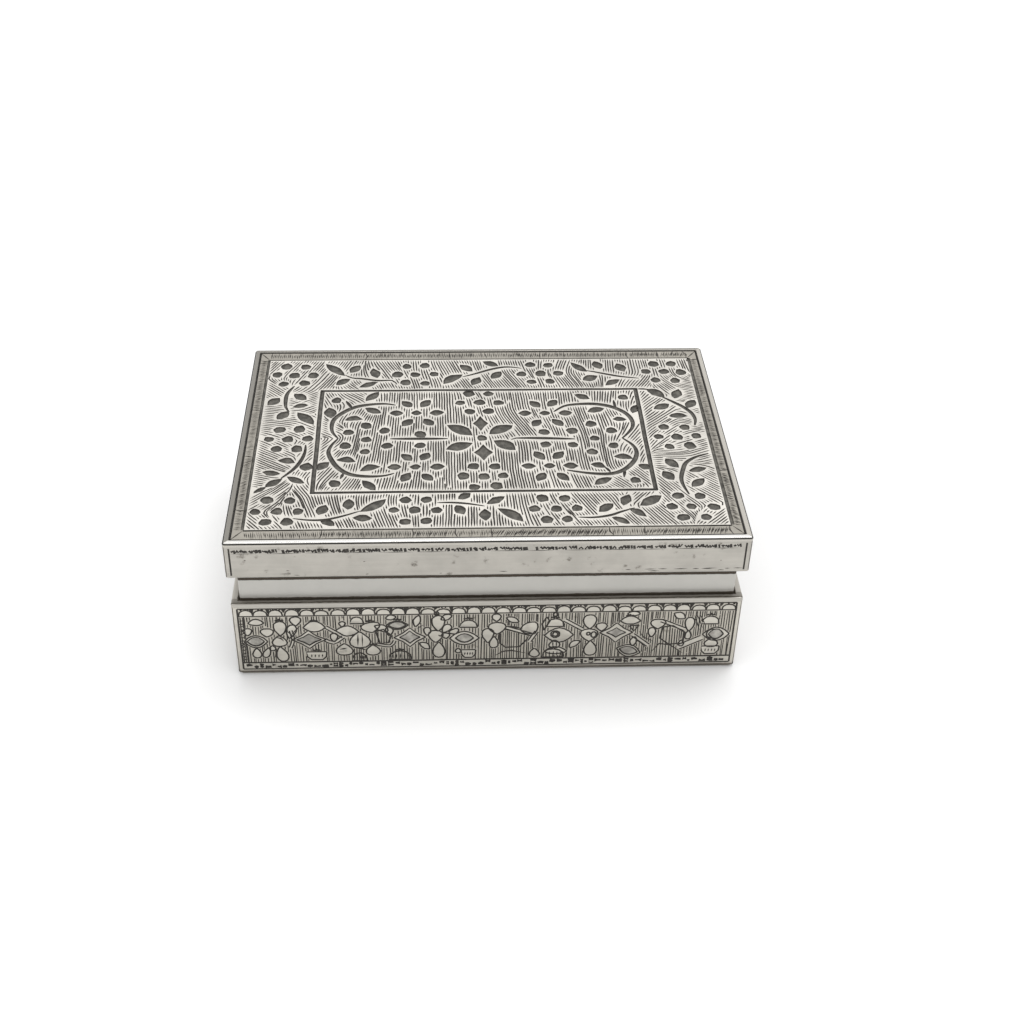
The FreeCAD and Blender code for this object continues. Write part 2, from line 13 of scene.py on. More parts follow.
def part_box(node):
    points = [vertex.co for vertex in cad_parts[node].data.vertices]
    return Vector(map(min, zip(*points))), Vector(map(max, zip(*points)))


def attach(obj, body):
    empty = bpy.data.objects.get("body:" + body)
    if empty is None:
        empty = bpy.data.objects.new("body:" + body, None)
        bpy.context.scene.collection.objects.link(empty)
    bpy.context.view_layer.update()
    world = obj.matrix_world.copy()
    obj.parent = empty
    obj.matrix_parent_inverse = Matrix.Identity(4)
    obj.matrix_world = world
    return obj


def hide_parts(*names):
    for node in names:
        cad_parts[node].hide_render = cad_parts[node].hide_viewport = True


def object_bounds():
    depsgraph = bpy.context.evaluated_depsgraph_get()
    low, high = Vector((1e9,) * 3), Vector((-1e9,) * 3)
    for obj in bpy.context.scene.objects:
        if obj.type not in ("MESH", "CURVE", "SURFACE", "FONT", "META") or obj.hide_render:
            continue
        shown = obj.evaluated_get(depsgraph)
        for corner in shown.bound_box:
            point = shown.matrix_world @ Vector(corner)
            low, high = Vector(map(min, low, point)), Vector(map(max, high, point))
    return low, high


bl_info = {
    "name": "Engraved silver box",
    "version": (1, 0, 0),
    "blender": (4, 5, 0),
    "location": "View3D > Sidebar > Silver box",
    "description": "Engraves and finishes the pieces of a lift-off silver box and sets its stage",
    "category": "Add Mesh",
}

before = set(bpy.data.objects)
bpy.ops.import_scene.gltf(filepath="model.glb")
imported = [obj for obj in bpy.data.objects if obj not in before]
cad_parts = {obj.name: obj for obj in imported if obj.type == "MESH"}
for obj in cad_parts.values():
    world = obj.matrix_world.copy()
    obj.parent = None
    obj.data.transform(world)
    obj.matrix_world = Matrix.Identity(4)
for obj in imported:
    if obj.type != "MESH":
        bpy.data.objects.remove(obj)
CAD_LOW, CAD_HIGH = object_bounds()
MM = 0.001

# Each side of the box and its turn from the front, in degrees
SIDES = {"front": 0, "right": 90, "back": 180, "left": 270}

# Places on the box that its dirt, seams, painted shade and painted highlight keep to
RIM_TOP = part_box("rim_front")[1].z
LID_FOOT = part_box("skirt_front")[0].z
NECK_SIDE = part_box("neck_right")[1].x
NECK_FRONT = -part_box("neck_front")[0].y
WIRE_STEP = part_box("edge_wire_front")[0].z + 0.9 * MM

# Brown of old specks, and of the painted shade along a wall's foot
SPECKS_AND_FOOT_SHADE = (0.058, 0.046, 0.032)

# Stretch that draws noise out into hair scratches round the box
HAIR = (0.05, 0.05, 1.0)

# Nearness in metres that counts as the same place, and at which an engraved face joins its blank
SAME_PLACE = 1e-5
WELD = 2e-6

# Sharpest bend that is shaded smooth
SMOOTH = math.radians(24)

# Finishes of an engraved sheet, in the order of its material slots
GROUND, FIELD, BARE, GROOVE, FLOOR, SEAM = range(6)


class EngravingSizes(bpy.types.PropertyGroup):
    """Sizes of the engraver's cuts."""

    hatch_pitch: FloatProperty(
        name="Hatch pitch", description="Distance between hatch strokes on the lid",
        default=0.86 * MM, unit="LENGTH")
    hatch_width: FloatProperty(
        name="Hatch width", description="Width of a hatch stroke",
        default=0.5 * MM, unit="LENGTH")
    hatch_depth: FloatProperty(
        name="Hatch depth", description="Depth of a hatch stroke",
        default=0.16 * MM, unit="LENGTH")
    pocket_depth: FloatProperty(
        name="Pocket depth", description="Depth of the sunk leaves, dots and frame lines",
        default=0.34 * MM, unit="LENGTH")
    pocket_slope: FloatProperty(
        name="Pocket slope", description="Width of the sloping wall of a sunk shape",
        default=0.34 * MM, unit="LENGTH")
    halo: FloatProperty(
        name="Halo", description="Bare silver left round every sunk shape",
        default=0.42 * MM, unit="LENGTH")
    line_width: FloatProperty(
        name="Frieze line", description="Width of the outlines in the wall frieze",
        default=0.54 * MM, unit="LENGTH")
    seed: IntProperty(
        name="Hand", description="Seed of the small irregularities of hand work", default=7)


class SilverColours(bpy.types.PropertyGroup):
    """Colours of the silver and of what lies in its cuts."""

    # Lighter than the plain silver of the sides: partly a rubbed ground, partly painted light for the
    # bright sky that the top mirrors
    lid: FloatVectorProperty(
        name="Lid silver", description="Bare silver of the lid", subtype="COLOR",
        default=(0.725, 0.696, 0.640))
    band: FloatVectorProperty(
        name="Band silver", description="Darker silver of the lid's border band", subtype="COLOR",
        default=(0.367, 0.346, 0.305))
    wall: FloatVectorProperty(
        name="Wall silver", description="Bare silver of the frieze", subtype="COLOR",
        default=(0.555, 0.529, 0.472))
    field: FloatVectorProperty(
        name="Frieze field", description="Duller silver under the frieze's hatching", subtype="COLOR",
        default=(0.480, 0.453, 0.398))
    plain: FloatVectorProperty(
        name="Plain silver", description="Skirt, rim, wire, liner and base", subtype="COLOR",
        default=(0.442, 0.422, 0.383))
    neck: FloatVectorProperty(
        name="Neck silver", description="Cooler silver of the neck", subtype="COLOR",
        default=(0.483, 0.472, 0.440))
    # Painted highlight: the colour of the front wire above its step
    bead_highlight: FloatVectorProperty(
        name="Bead silver", description="Rubbed bead of the front wire", subtype="COLOR",
        default=(0.792, 0.779, 0.750))
    recess: FloatVectorProperty(
        name="Recess", description="Oxidised floor of sunk shapes", subtype="COLOR",
        default=(0.108, 0.102, 0.089))
    stipple: FloatVectorProperty(
        name="Stipple", description="Stippled ground inside the frieze shapes", subtype="COLOR",
        default=(0.383, 0.367, 0.333))
    cut: FloatVectorProperty(
        name="Cut", description="Dark oxide in the grooves", subtype="COLOR",
        default=(0.042, 0.038, 0.033))
    # Brown of tarnishing, also used as painted shade in creases, on the rim's ledge and under the lid's
    # skirt
    tarnish_and_shade: FloatVectorProperty(
        name="Tarnish", description="Brown tarnish in the corners", subtype="COLOR",
        default=(0.050, 0.039, 0.027))


class StageSettings(bpy.types.PropertyGroup):
    """Floor, light and camera."""

    floor: FloatVectorProperty(
        name="Floor", description="Colour of the floor", subtype="COLOR",
        default=(0.93, 0.93, 0.93))
    sky: FloatProperty(
        name="Sky", description="Strength of the even light all round", default=0.96)
    front_light: FloatProperty(
        name="Front light", description="How much stronger the sky is in front", default=0.144)
    back_light: FloatProperty(
        name="Back light", description="Extra strength of the sky that the lid mirrors", default=0.264)
    sun: FloatProperty(
        name="Sun", description="Strength of the soft lamp overhead and behind", default=0.84)
    sun_angle: FloatProperty(
        name="Sun angle", description="Width of the soft lamp as the box sees it", unit="ROTATION",
        default=math.radians(30))
    lens: FloatProperty(
        name="Lens", description="Focal length for a 36 mm sensor, in millimetres", default=52.734)
    camera_place: FloatVectorProperty(
        name="Camera place", description="Where the camera stands", subtype="TRANSLATION",
        unit="LENGTH", default=(-14.999 * MM, -410.566 * MM, 330.97 * MM))
    camera_pitch: FloatProperty(
        name="Camera pitch", description="How far the camera looks down", unit="ROTATION",
        default=math.radians(36.928))
    camera_yaw: FloatProperty(
        name="Camera yaw", description="Turn of the camera to the right", unit="ROTATION",
        default=math.radians(3.457))
    camera_roll: FloatProperty(
        name="Camera roll", description="Tilt of the camera about its view", unit="ROTATION",
        default=math.radians(1.448))


class Socket:
    """A shader value that can be used in sums."""

    def __init__(self, tree, socket):
        self.tree = tree
        self.socket = socket

    def math(self, operation, first, second=0.0):
        node = self.tree.nodes.new("ShaderNodeMath")
        node.operation = operation
        for place, value in zip(node.inputs, (first, second)):
            if isinstance(value, Socket):
                self.tree.links.new(value.socket, place)
            else:
                place.default_value = value
        return Socket(self.tree, node.outputs[0])

    def __add__(self, other):
        return self.math("ADD", self, other)

    def __radd__(self, other):
        return self.math("ADD", other, self)

    def __sub__(self, other):
        return self.math("SUBTRACT", self, other)

    def __rsub__(self, other):
        return self.math("SUBTRACT", other, self)

    def __mul__(self, other):
        return self.math("MULTIPLY", self, other)

    def __rmul__(self, other):
        return self.math("MULTIPLY", other, self)

    def __abs__(self):
        return self.math("ABSOLUTE", self)

    def larger(self, other):
        return self.math("MAXIMUM", self, other)


class Shader:
    """A node tree that is built one node at a time."""

    def __init__(self, owner):
        owner.use_nodes = True
        self.tree = owner.node_tree
        self.tree.nodes.clear()

    def node(self, kind, settings=None, inputs=None, output=0):
        """Adds a node, sets it up, feeds its sockets and gives back one of its outputs."""
        node = self.tree.nodes.new(kind)
        for name, value in (settings or {}).items():
            setattr(node, name, value)
        for name, value in (inputs or {}).items():
            if isinstance(value, Socket):
                self.tree.links.new(value.socket, node.inputs[name])
            else:
                node.inputs[name].default_value = value
        return Socket(self.tree, node.outputs[output]) if node.outputs else None

    def place(self):
        """Object coordinates, which are those of the box."""
        return self.node("ShaderNodeTexCoord", output="Object")

    def axes(self):
        """The three object coordinates as values."""
        split = self.node("ShaderNodeSeparateXYZ", inputs={"Vector": self.place()})
        outputs = split.socket.node.outputs
        return [Socket(self.tree, socket) for socket in outputs]

    def noise(self, scale, detail, stretch=(1, 1, 1)):
        """Noise of that many grains a metre, drawn out along the axes whose stretch is small."""
        mapped = self.node(
            "ShaderNodeMapping", inputs={"Vector": self.place(), "Scale": stretch})
        inputs = {"Vector": mapped, "Scale": scale, "Detail": detail, "Roughness": 0.6}
        return self.node("ShaderNodeTexNoise", inputs=inputs, output="Fac")

    def rise(self, value, low, high):
        """0 below low, 1 above high and smooth between them."""
        settings = {"interpolation_type": "SMOOTHSTEP"}
        inputs = {"Value": value, "From Min": low, "From Max": high}
        return self.node("ShaderNodeMapRange", settings, inputs)

    def blend(self, share, first, second):
        """Colour first where the share is 0 and second where it is 1."""
        colours = [c if isinstance(c, Socket) else (*c, 1.0) for c in (first, second)]
        inputs = {0: share, 6: colours[0], 7: colours[1]}
        return self.node("ShaderNodeMix", {"data_type": "RGBA"}, inputs, output=2)

    def bump(self, height, distance, strength):
        inputs = {"Height": height, "Distance": distance, "Strength": strength}
        return self.node("ShaderNodeBump", inputs=inputs)

    def surface(self, **inputs):
        """Ends the tree in a principled surface with these inputs."""
        names = {name.replace("_", " ").title(): value for name, value in inputs.items()}
        names = {n: (*v, 1.0) if isinstance(v, tuple) else v for n, v in names.items()}
        surface = self.node("ShaderNodeBsdfPrincipled", inputs=names)
        self.node("ShaderNodeOutputMaterial", inputs={"Surface": surface})


def shade(colour, factor):
    return tuple(channel * factor for channel in colour)


def new_material(name):
    material = bpy.data.materials.new(name)
    return material, Shader(material)


def worn_silver(name, colour, roughness, grain, spots, relief=0.05 * MM, foot=None):
    """Bare silver: cloudy tone, hair scratches, fine pitting, patina spots and perhaps painted shade at its
    foot.
    """
    material, shader = new_material(name)
    clouds = shader.noise(90, 5)
    fine = shader.noise(1400, 3)
    scratches = shader.noise(700, 6, HAIR)
    tone = shader.rise(0.65 * clouds + 0.35 * scratches, 0.32, 0.68)
    base = shader.blend(tone, shade(colour, 0.88), shade(colour, 1.08))
    patina = shader.rise(shader.noise(260, 6), 0.6, 0.76) * spots
    base = shader.blend(patina, base, SPECKS_AND_FOOT_SHADE)
    # Painted shade: from just above the foot downwards the silver fades to brown, in place of the shadow
    # along the floor
    if foot is not None:
        height = shader.axes()[2] + (fine - 0.5) * (0.3 * MM)
        base = shader.blend(1.0 - shader.rise(height, foot + 0.5 * MM, foot + 1.8 * MM), base, SPECKS_AND_FOOT_SHADE)
    rough = roughness + 0.14 * clouds + 0.10 * (scratches - 0.5) + 0.2 * patina
    height = fine * 0.5 + scratches * 0.5
    shader.surface(
        base_color=base, metallic=1.0, roughness=rough,
        normal=shader.bump(height, relief, grain))
    return material


def oxidised_silver(name, colour, roughness, metallic, mottling):
    """Dull dark silver at the bottom of a cut, uneven where it is rubbed."""
    material, shader = new_material(name)
    rubbed = shader.rise(shader.noise(420, 5), 0.35, 0.75)
    pits = shader.noise(2600, 3)
    base = shader.blend(rubbed, shade(colour, 1.0 - mottling), shade(colour, 1.0 + mottling))
    shader.surface(
        base_color=base, metallic=metallic, roughness=roughness + 0.2 * (pits - 0.5),
        normal=shader.bump(pits, 0.06 * MM, 0.8))
    return material


def neck_dirt_and_shadow(shader, ragged):
    """Tarnishing and painted shade outside in the crease at the neck's foot, and a thin band of painted
    shadow a little below where the lid's foot stops.
    """
    x, y, z = shader.axes()
    height = z + (ragged - 0.5) * (0.5 * MM)
    # Tarnishing and painted shade in the crease at the neck's foot
    foot = 1.0 - shader.rise(height, RIM_TOP + 0.55 * MM, RIM_TOP + 0.7 * MM)
    # Painted shadow of the lid's skirt, a band 1.8 to 3.25 mm under its foot
    line = shader.rise(height, LID_FOOT - 3.25 * MM, LID_FOOT - 3.1 * MM)
    line = line * (1.0 - shader.rise(height, LID_FOOT - 2.2 * MM, LID_FOOT - 1.8 * MM))
    out = (abs(x) - NECK_SIDE).larger(abs(y) - NECK_FRONT)
    return foot.larger(line) * shader.rise(out, -0.3 * MM, -0.1 * MM)


def rim_dirt_and_shade(shader, ragged):
    """Black in the crease at the neck, as tarnishing and painted shade, and along the length a ledge
    darkened as painted shade, with a dark line near its edge.
    """
    x, y, _ = shader.axes()
    uneven = (ragged - 0.5) * (0.7 * MM)
    out = abs(y) - NECK_FRONT + uneven
    # Tarnishing and painted shade in the crease
    crease = 1.0 - shader.rise(out.larger(abs(x) - NECK_SIDE + uneven), 0.5 * MM, 0.9 * MM)
    # Painted shade: the ledge mirrors the shaded neck and lid
    ledge = 0.42 * (1.0 - shader.rise(out, 1.7 * MM, 2.0 * MM))
    edge = shader.rise(out, 1.4 * MM, 1.6 * MM) * (1.0 - shader.rise(out, 1.85 * MM, 2.1 * MM))
    along = shader.rise(out, -0.6 * MM, -0.2 * MM)
    return crease.larger(ledge.larger(edge) * along)


def tarnished_silver(name, colour, tarnish_and_shade, roughness, dirt_and_shade_mask, metal=1.0):
    """Polished silver that turns brown where dirt_and_shade_mask puts tarnishing and painted shade."""
    material, shader = new_material(name)
    clouds = shader.noise(110, 5)
    scratches = shader.noise(800, 6, HAIR)
    base = shader.blend(clouds, shade(colour, 0.88), shade(colour, 1.08))
    ragged = shader.noise(380, 6)
    # The mask holds tarnishing and painted shade alike
    dirt_and_shade = dirt_and_shade_mask(shader, ragged)
    base = shader.blend(dirt_and_shade, base, tarnish_and_shade)
    rough = roughness + 0.12 * clouds + 0.35 * dirt_and_shade
    shader.surface(
        base_color=base, metallic=metal - 0.6 * metal * dirt_and_shade, roughness=rough,
        normal=shader.bump(scratches, 0.04 * MM, 0.35))
    return material


def stepped_silver(name, colour, bead_highlight):
    """Wire that turns to its top colour above its step, a painted highlight where that colour is lighter,
    with a dark line of painted shade in the step and its own colour below.
    """
    material, shader = new_material(name)
    clouds = shader.noise(140, 5)
    nicks = shader.noise(900, 4)
    height = shader.axes()[2] + (nicks - 0.5) * (0.08 * MM)
    # Painted highlight above the step and painted shade in it
    above = shader.rise(height, WIRE_STEP + 0.18 * MM, WIRE_STEP + 0.26 * MM)
    seam = shader.rise(height, WIRE_STEP - 0.14 * MM, WIRE_STEP - 0.06 * MM) * (1.0 - above)
    base = shader.blend(clouds, shade(colour, 0.86), shade(colour, 1.1))
    base = shader.blend(above, base, bead_highlight)
    base = shader.blend(seam, base, shade(colour, 0.12))
    shader.surface(
        base_color=base, metallic=1.0, roughness=0.12 + 0.16 * clouds + 0.3 * seam,
        normal=shader.bump(nicks, 0.05 * MM, 0.4))
    return material


def signed_area(outline):
    total = 0.0
    for (x0, y0), (x1, y1) in zip(outline, outline[1:] + outline[:1]):
        total += x0 * y1 - x1 * y0
    return total / 2


def turned(points, angle, x, y):
    """Points turned by an angle in degrees and moved to x, y."""
    c = math.cos(math.radians(angle))
    s = math.sin(math.radians(angle))
    return [(x + c * u - s * v, y + s * u + c * v) for u, v in points]


def smooth_path(points, spacing):
    """Points about spacing apart on a smooth curve through the given ones."""
    ends = [points[0]] + list(points) + [points[-1]]
    path = []
    for before, start, stop, after in zip(ends, ends[1:], ends[2:], ends[3:]):
        steps = max(1, round(math.dist(start, stop) / spacing))
        for step in range(steps):
            t = step / steps
            path.append(tuple(
                0.5 * (2 * b + (c - a) * t + (2 * a - 5 * b + 4 * c - d) * t * t
                       + (3 * b - a - 3 * c + d) * t ** 3)
                for a, b, c, d in zip(before, start, stop, after)))
    path.append(tuple(points[-1]))
    return path


def path_normals(path):
    """Unit vectors to the left of a path at each of its points."""
    normals = []
    last = len(path) - 1
    for i in range(len(path)):
        (x0, y0), (x1, y1) = path[max(i - 1, 0)], path[min(i + 1, last)]
        length = math.hypot(x1 - x0, y1 - y0) or 1.0
        normals.append(((y0 - y1) / length, (x1 - x0) / length))
    return normals


def path_side(path, offsets):
    """A path moved to its left by an offset at each point."""
    return [(x + nx * offset, y + ny * offset)
            for (x, y), (nx, ny), offset in zip(path, path_normals(path), offsets)]


def runs_along(side, path):
    """True where each step of a moved path still goes the way of the path."""
    steps = zip(side, side[1:], path, path[1:])
    return all((b[0] - a[0]) * (d[0] - c[0]) + (b[1] - a[1]) * (d[1] - c[1]) > 0 for a, b, c, d in steps)


def path_outline(path, widths):
    """The outline of a line along a path, thinned where a tight bend would make it cross itself."""
    for thinner in (1.0, 0.7, 0.5, 0.35, 0.2):
        left = path_side(path, [thinner * width / 2 for width in widths])
        right = path_side(path, [-thinner * width / 2 for width in widths])
        if runs_along(left, path) and runs_along(right, path):
            break
    return right + left[::-1]


class Engraving:
    """The cuts in one flat face, in millimetres from its middle, and the sheet that they leave."""

    # Width of a pointed end and least width of a channel's floor, as shares of the whole width
    POINTED = 0.2
    LEAST_FLOOR = 0.3

    # Distance at which two points count as one
    TOGETHER = 1e-5

    def __init__(self, half_width, half_height, sizes, pocket_depth=None, ground=GROUND):
        self.half_width = half_width
        self.half_height = half_height
        self.pocket_depth = pocket_depth or sizes.pocket_depth / MM
        self.slope = sizes.pocket_slope / MM
        self.hatch_depth = sizes.hatch_depth / MM
        self.points = []
        self.depths = []
        self.edges = []
        self.loops = []
        self.finishes = []
        w, h = half_width, half_height
        self.loop([(-w, -h), (w, -h), (w, h), (-w, h)], 0.0, ground)

    def loop(self, outline, depth, finish):
        """Adds a closed outline whose inside takes that finish."""
        if signed_area(outline) < 0:
            outline = outline[::-1]
        first = len(self.points)
        self.points.extend(outline)
        self.depths.extend([depth] * len(outline))
        self.loops.append(list(range(first, len(self.points))))
        self.finishes.append(finish)

    def groove(self, path, width, blunt=False, finish=GROOVE):
        """A V-shaped cut along a path, drawn out to points at its ends unless it is blunt."""
        if len(path) == 2:
            (x0, y0), (x1, y1) = path
            path = [path[0], ((x0 + x1) / 2, (y0 + y1) / 2), path[1]]
        tip = width if blunt else width * self.POINTED
        self.line(path, [tip] + [width] * (len(path) - 2) + [tip], finish)

    def line(self, path, widths, finish=GROOVE):
        """A V-shaped cut with a width at each point of its path."""
        self.loop(path_outline(path, widths), 0.0, finish)
        first = len(self.points)
        middle = path[1:-1]
        self.points.extend(middle)
        self.depths.extend([self.hatch_depth] * len(middle))
        self.edges.extend((first + i, first + i + 1) for i in range(len(middle) - 1))

    def pocket(self, outer, inner, finish=FLOOR):
        """A flat-bottomed shape with sloping walls between its outer and inner outlines."""
        self.loop(outer, 0.0, GROOVE)
        self.loop(inner, self.pocket_depth, finish)

    def channel(self, path, widths, finish):
        """A flat-bottomed line along a path."""
        narrow = [max(width - 2 * self.slope, width * self.LEAST_FLOOR) for width in widths]
        self.pocket(path_outline(path, widths), path_outline(path[1:-1], narrow[1:-1]), finish)

    def sheet(self):
        """Vertices, triangles and finishes of the face, with each cut pushed in along its normal."""
        flat = [Vector(point) for point in self.points]
        made = delaunay_2d_cdt(flat, self.edges, self.loops, 1, self.TOGETHER)
        places, _, triangles, sources, _, owners = made
        finishes = [max(self.finishes[loop] for loop in owner) for owner in owners]
        touching = [[] for _ in places]
        for triangle, finish in zip(triangles, finishes):
            for corner in triangle:
                touching[corner].append(finish)
        vertices = []
        for place, source, around in zip(places, sources, touching):
            depth = max((self.depths[i] for i in source), default=0.0)
            if not around or min(around) < GROOVE:
                depth = 0.0
            elif min(around) >= FLOOR:
                depth = max(depth, self.pocket_depth)
            elif depth == 0.0:
                depth = self.hatch_depth / 2
            vertices.append((place.x, place.y, -depth))
        return vertices, triangles, finishes


class Stencil:
    """A fine grid over a face that marks where hatching may not run."""

    CELL = 0.2

    def __init__(self, half_width, half_height):
        self.half_width = half_width
        self.half_height = half_height
        columns = int(2 * half_width / self.CELL) + 1
        rows = int(2 * half_height / self.CELL) + 1
        self.blocked = np.zeros((rows, columns), bool)

    def index(self, value, half):
        return int((value + half) / self.CELL)

    def cover(self, outline, margin):
        """Blocks the inside of an outline and a margin round it."""
        corners = np.array(outline)
        low = corners.min(0) - margin
        high = corners.max(0) + margin
        rows, columns = self.blocked.shape
        first_column = max(self.index(low[0], self.half_width), 0)
        last_column = min(self.index(high[0], self.half_width) + 1, columns)
        first_row = max(self.index(low[1], self.half_height), 0)
        last_row = min(self.index(high[1], self.half_height) + 1, rows)
        if first_column >= last_column or first_row >= last_row:
            return
        x = (np.arange(first_column, last_column) + 0.5) * self.CELL - self.half_width
        y = (np.arange(first_row, last_row) + 0.5) * self.CELL - self.half_height
        x, y = np.meshgrid(x, y)
        inside = np.zeros(x.shape, bool)
        near = np.zeros(x.shape, bool)
        for (x0, y0), (x1, y1) in zip(corners, np.roll(corners, -1, axis=0)):
            crosses = (y0 > y) != (y1 > y)
            rise = y1 - y0 if y1 != y0 else 1e-9
            inside ^= crosses & (x < (x1 - x0) * (y - y0) / rise + x0)
            length = (x1 - x0) ** 2 + (y1 - y0) ** 2 or 1e-9
            t = np.clip(((x - x0) * (x1 - x0) + (y - y0) * (y1 - y0)) / length, 0, 1)
            near |= np.hypot(x - x0 - t * (x1 - x0), y - y0 - t * (y1 - y0)) < margin
        self.blocked[first_row:last_row, first_column:last_column] |= inside | near

    def free(self, x, y):
        if abs(x) >= self.half_width or abs(y) >= self.half_height:
            return False
        return not self.blocked[self.index(y, self.half_height), self.index(x, self.half_width)]


def shrunk(outline, share):
    """An outline drawn in towards its middle."""
    x = sum(point[0] for point in outline) / len(outline)
    y = sum(point[1] for point in outline) / len(outline)
    return [(x + (u - x) * share, y + (v - y) * share) for u, v in outline]


def turns(corners):
    """Angles of the evenly spaced corners of a round."""
    return [2 * math.pi * i / corners for i in range(corners)]


def leaf_outline(x, y, angle, length, width, lean=0.0):
    """A leaf with two points. lean moves its belly to one side, as in a half leaf."""
    half = length / 2
    upper = width / 2 * (1 + lean)
    lower = width / 2 * (1 - lean)
    steps = 6
    edge = [(2 * i / steps - 1, 1 - (2 * i / steps - 1) ** 2) for i in range(1, steps)]
    top = [(half * u, upper * v) for u, v in edge]
    bottom = [(half * u, -lower * v) for u, v in edge]
    points = [(-half, 0)] + bottom + [(half, 0)] + top[::-1]
    return turned(points, angle, x, y)


def oval_outline(x, y, half_width, half_height):
    return [(x + half_width * math.cos(turn), y + half_height * math.sin(turn)) for turn in turns(10)]


def petal_outline(x, y, half_width, half_height, angle, tip):
    """A drop-shaped petal with its point down where tip is -1 and up where it is 1."""
    points = []
    for turn in turns(14):
        belly = 1.3 * math.sin(turn) * math.sin(turn / 2) ** 0.8
        points.append((half_width * belly, half_height * tip * math.cos(turn)))
    return turned(points, angle, x, y)


def lozenge_outline(x, y, half_width, half_height):
    """A lozenge with slightly hollow sides."""
    hollow = 0.44
    points = []
    for across, up in ((1, 1), (-1, 1), (-1, -1), (1, -1)):
        tip = (half_width * across, 0) if across == up else (0, half_height * up)
        points += [tip, (half_width * across * hollow, half_height * up * hollow)]
    return [(x + u, y + v) for u, v in points]


def dome_outline(x, y, half_width, height):
    """A half round with its flat side down, standing on x, y."""
    points = []
    for turn in turns(12)[:7]:
        points.append((x + half_width * math.cos(turn), y + height * abs(math.sin(turn)) ** 0.8))
    return points


def pot_outline(x, y, half_width, height):
    """A small pot, wider at its mouth."""
    side = ((1, 1), (0.95, 0.4), (0.55, 0))
    right = [(x + half_width * across, y + height * up) for across, up in side]
    left = [(x - half_width * across, y + height * up) for across, up in side]
    return right[:1] + left + right[:0:-1]


def lengthwise(along, over):
    return along, over


def crosswise(along, over):
    return over, along


class Drawing:
    """An engraver's drawing on one flat face, by a hand that is never quite even."""

    def __init__(self, engraving, seed):
        self.engraving = engraving
        self.hand = random.Random(seed)

    def wobble(self, amount):
        return self.hand.uniform(-amount, amount)


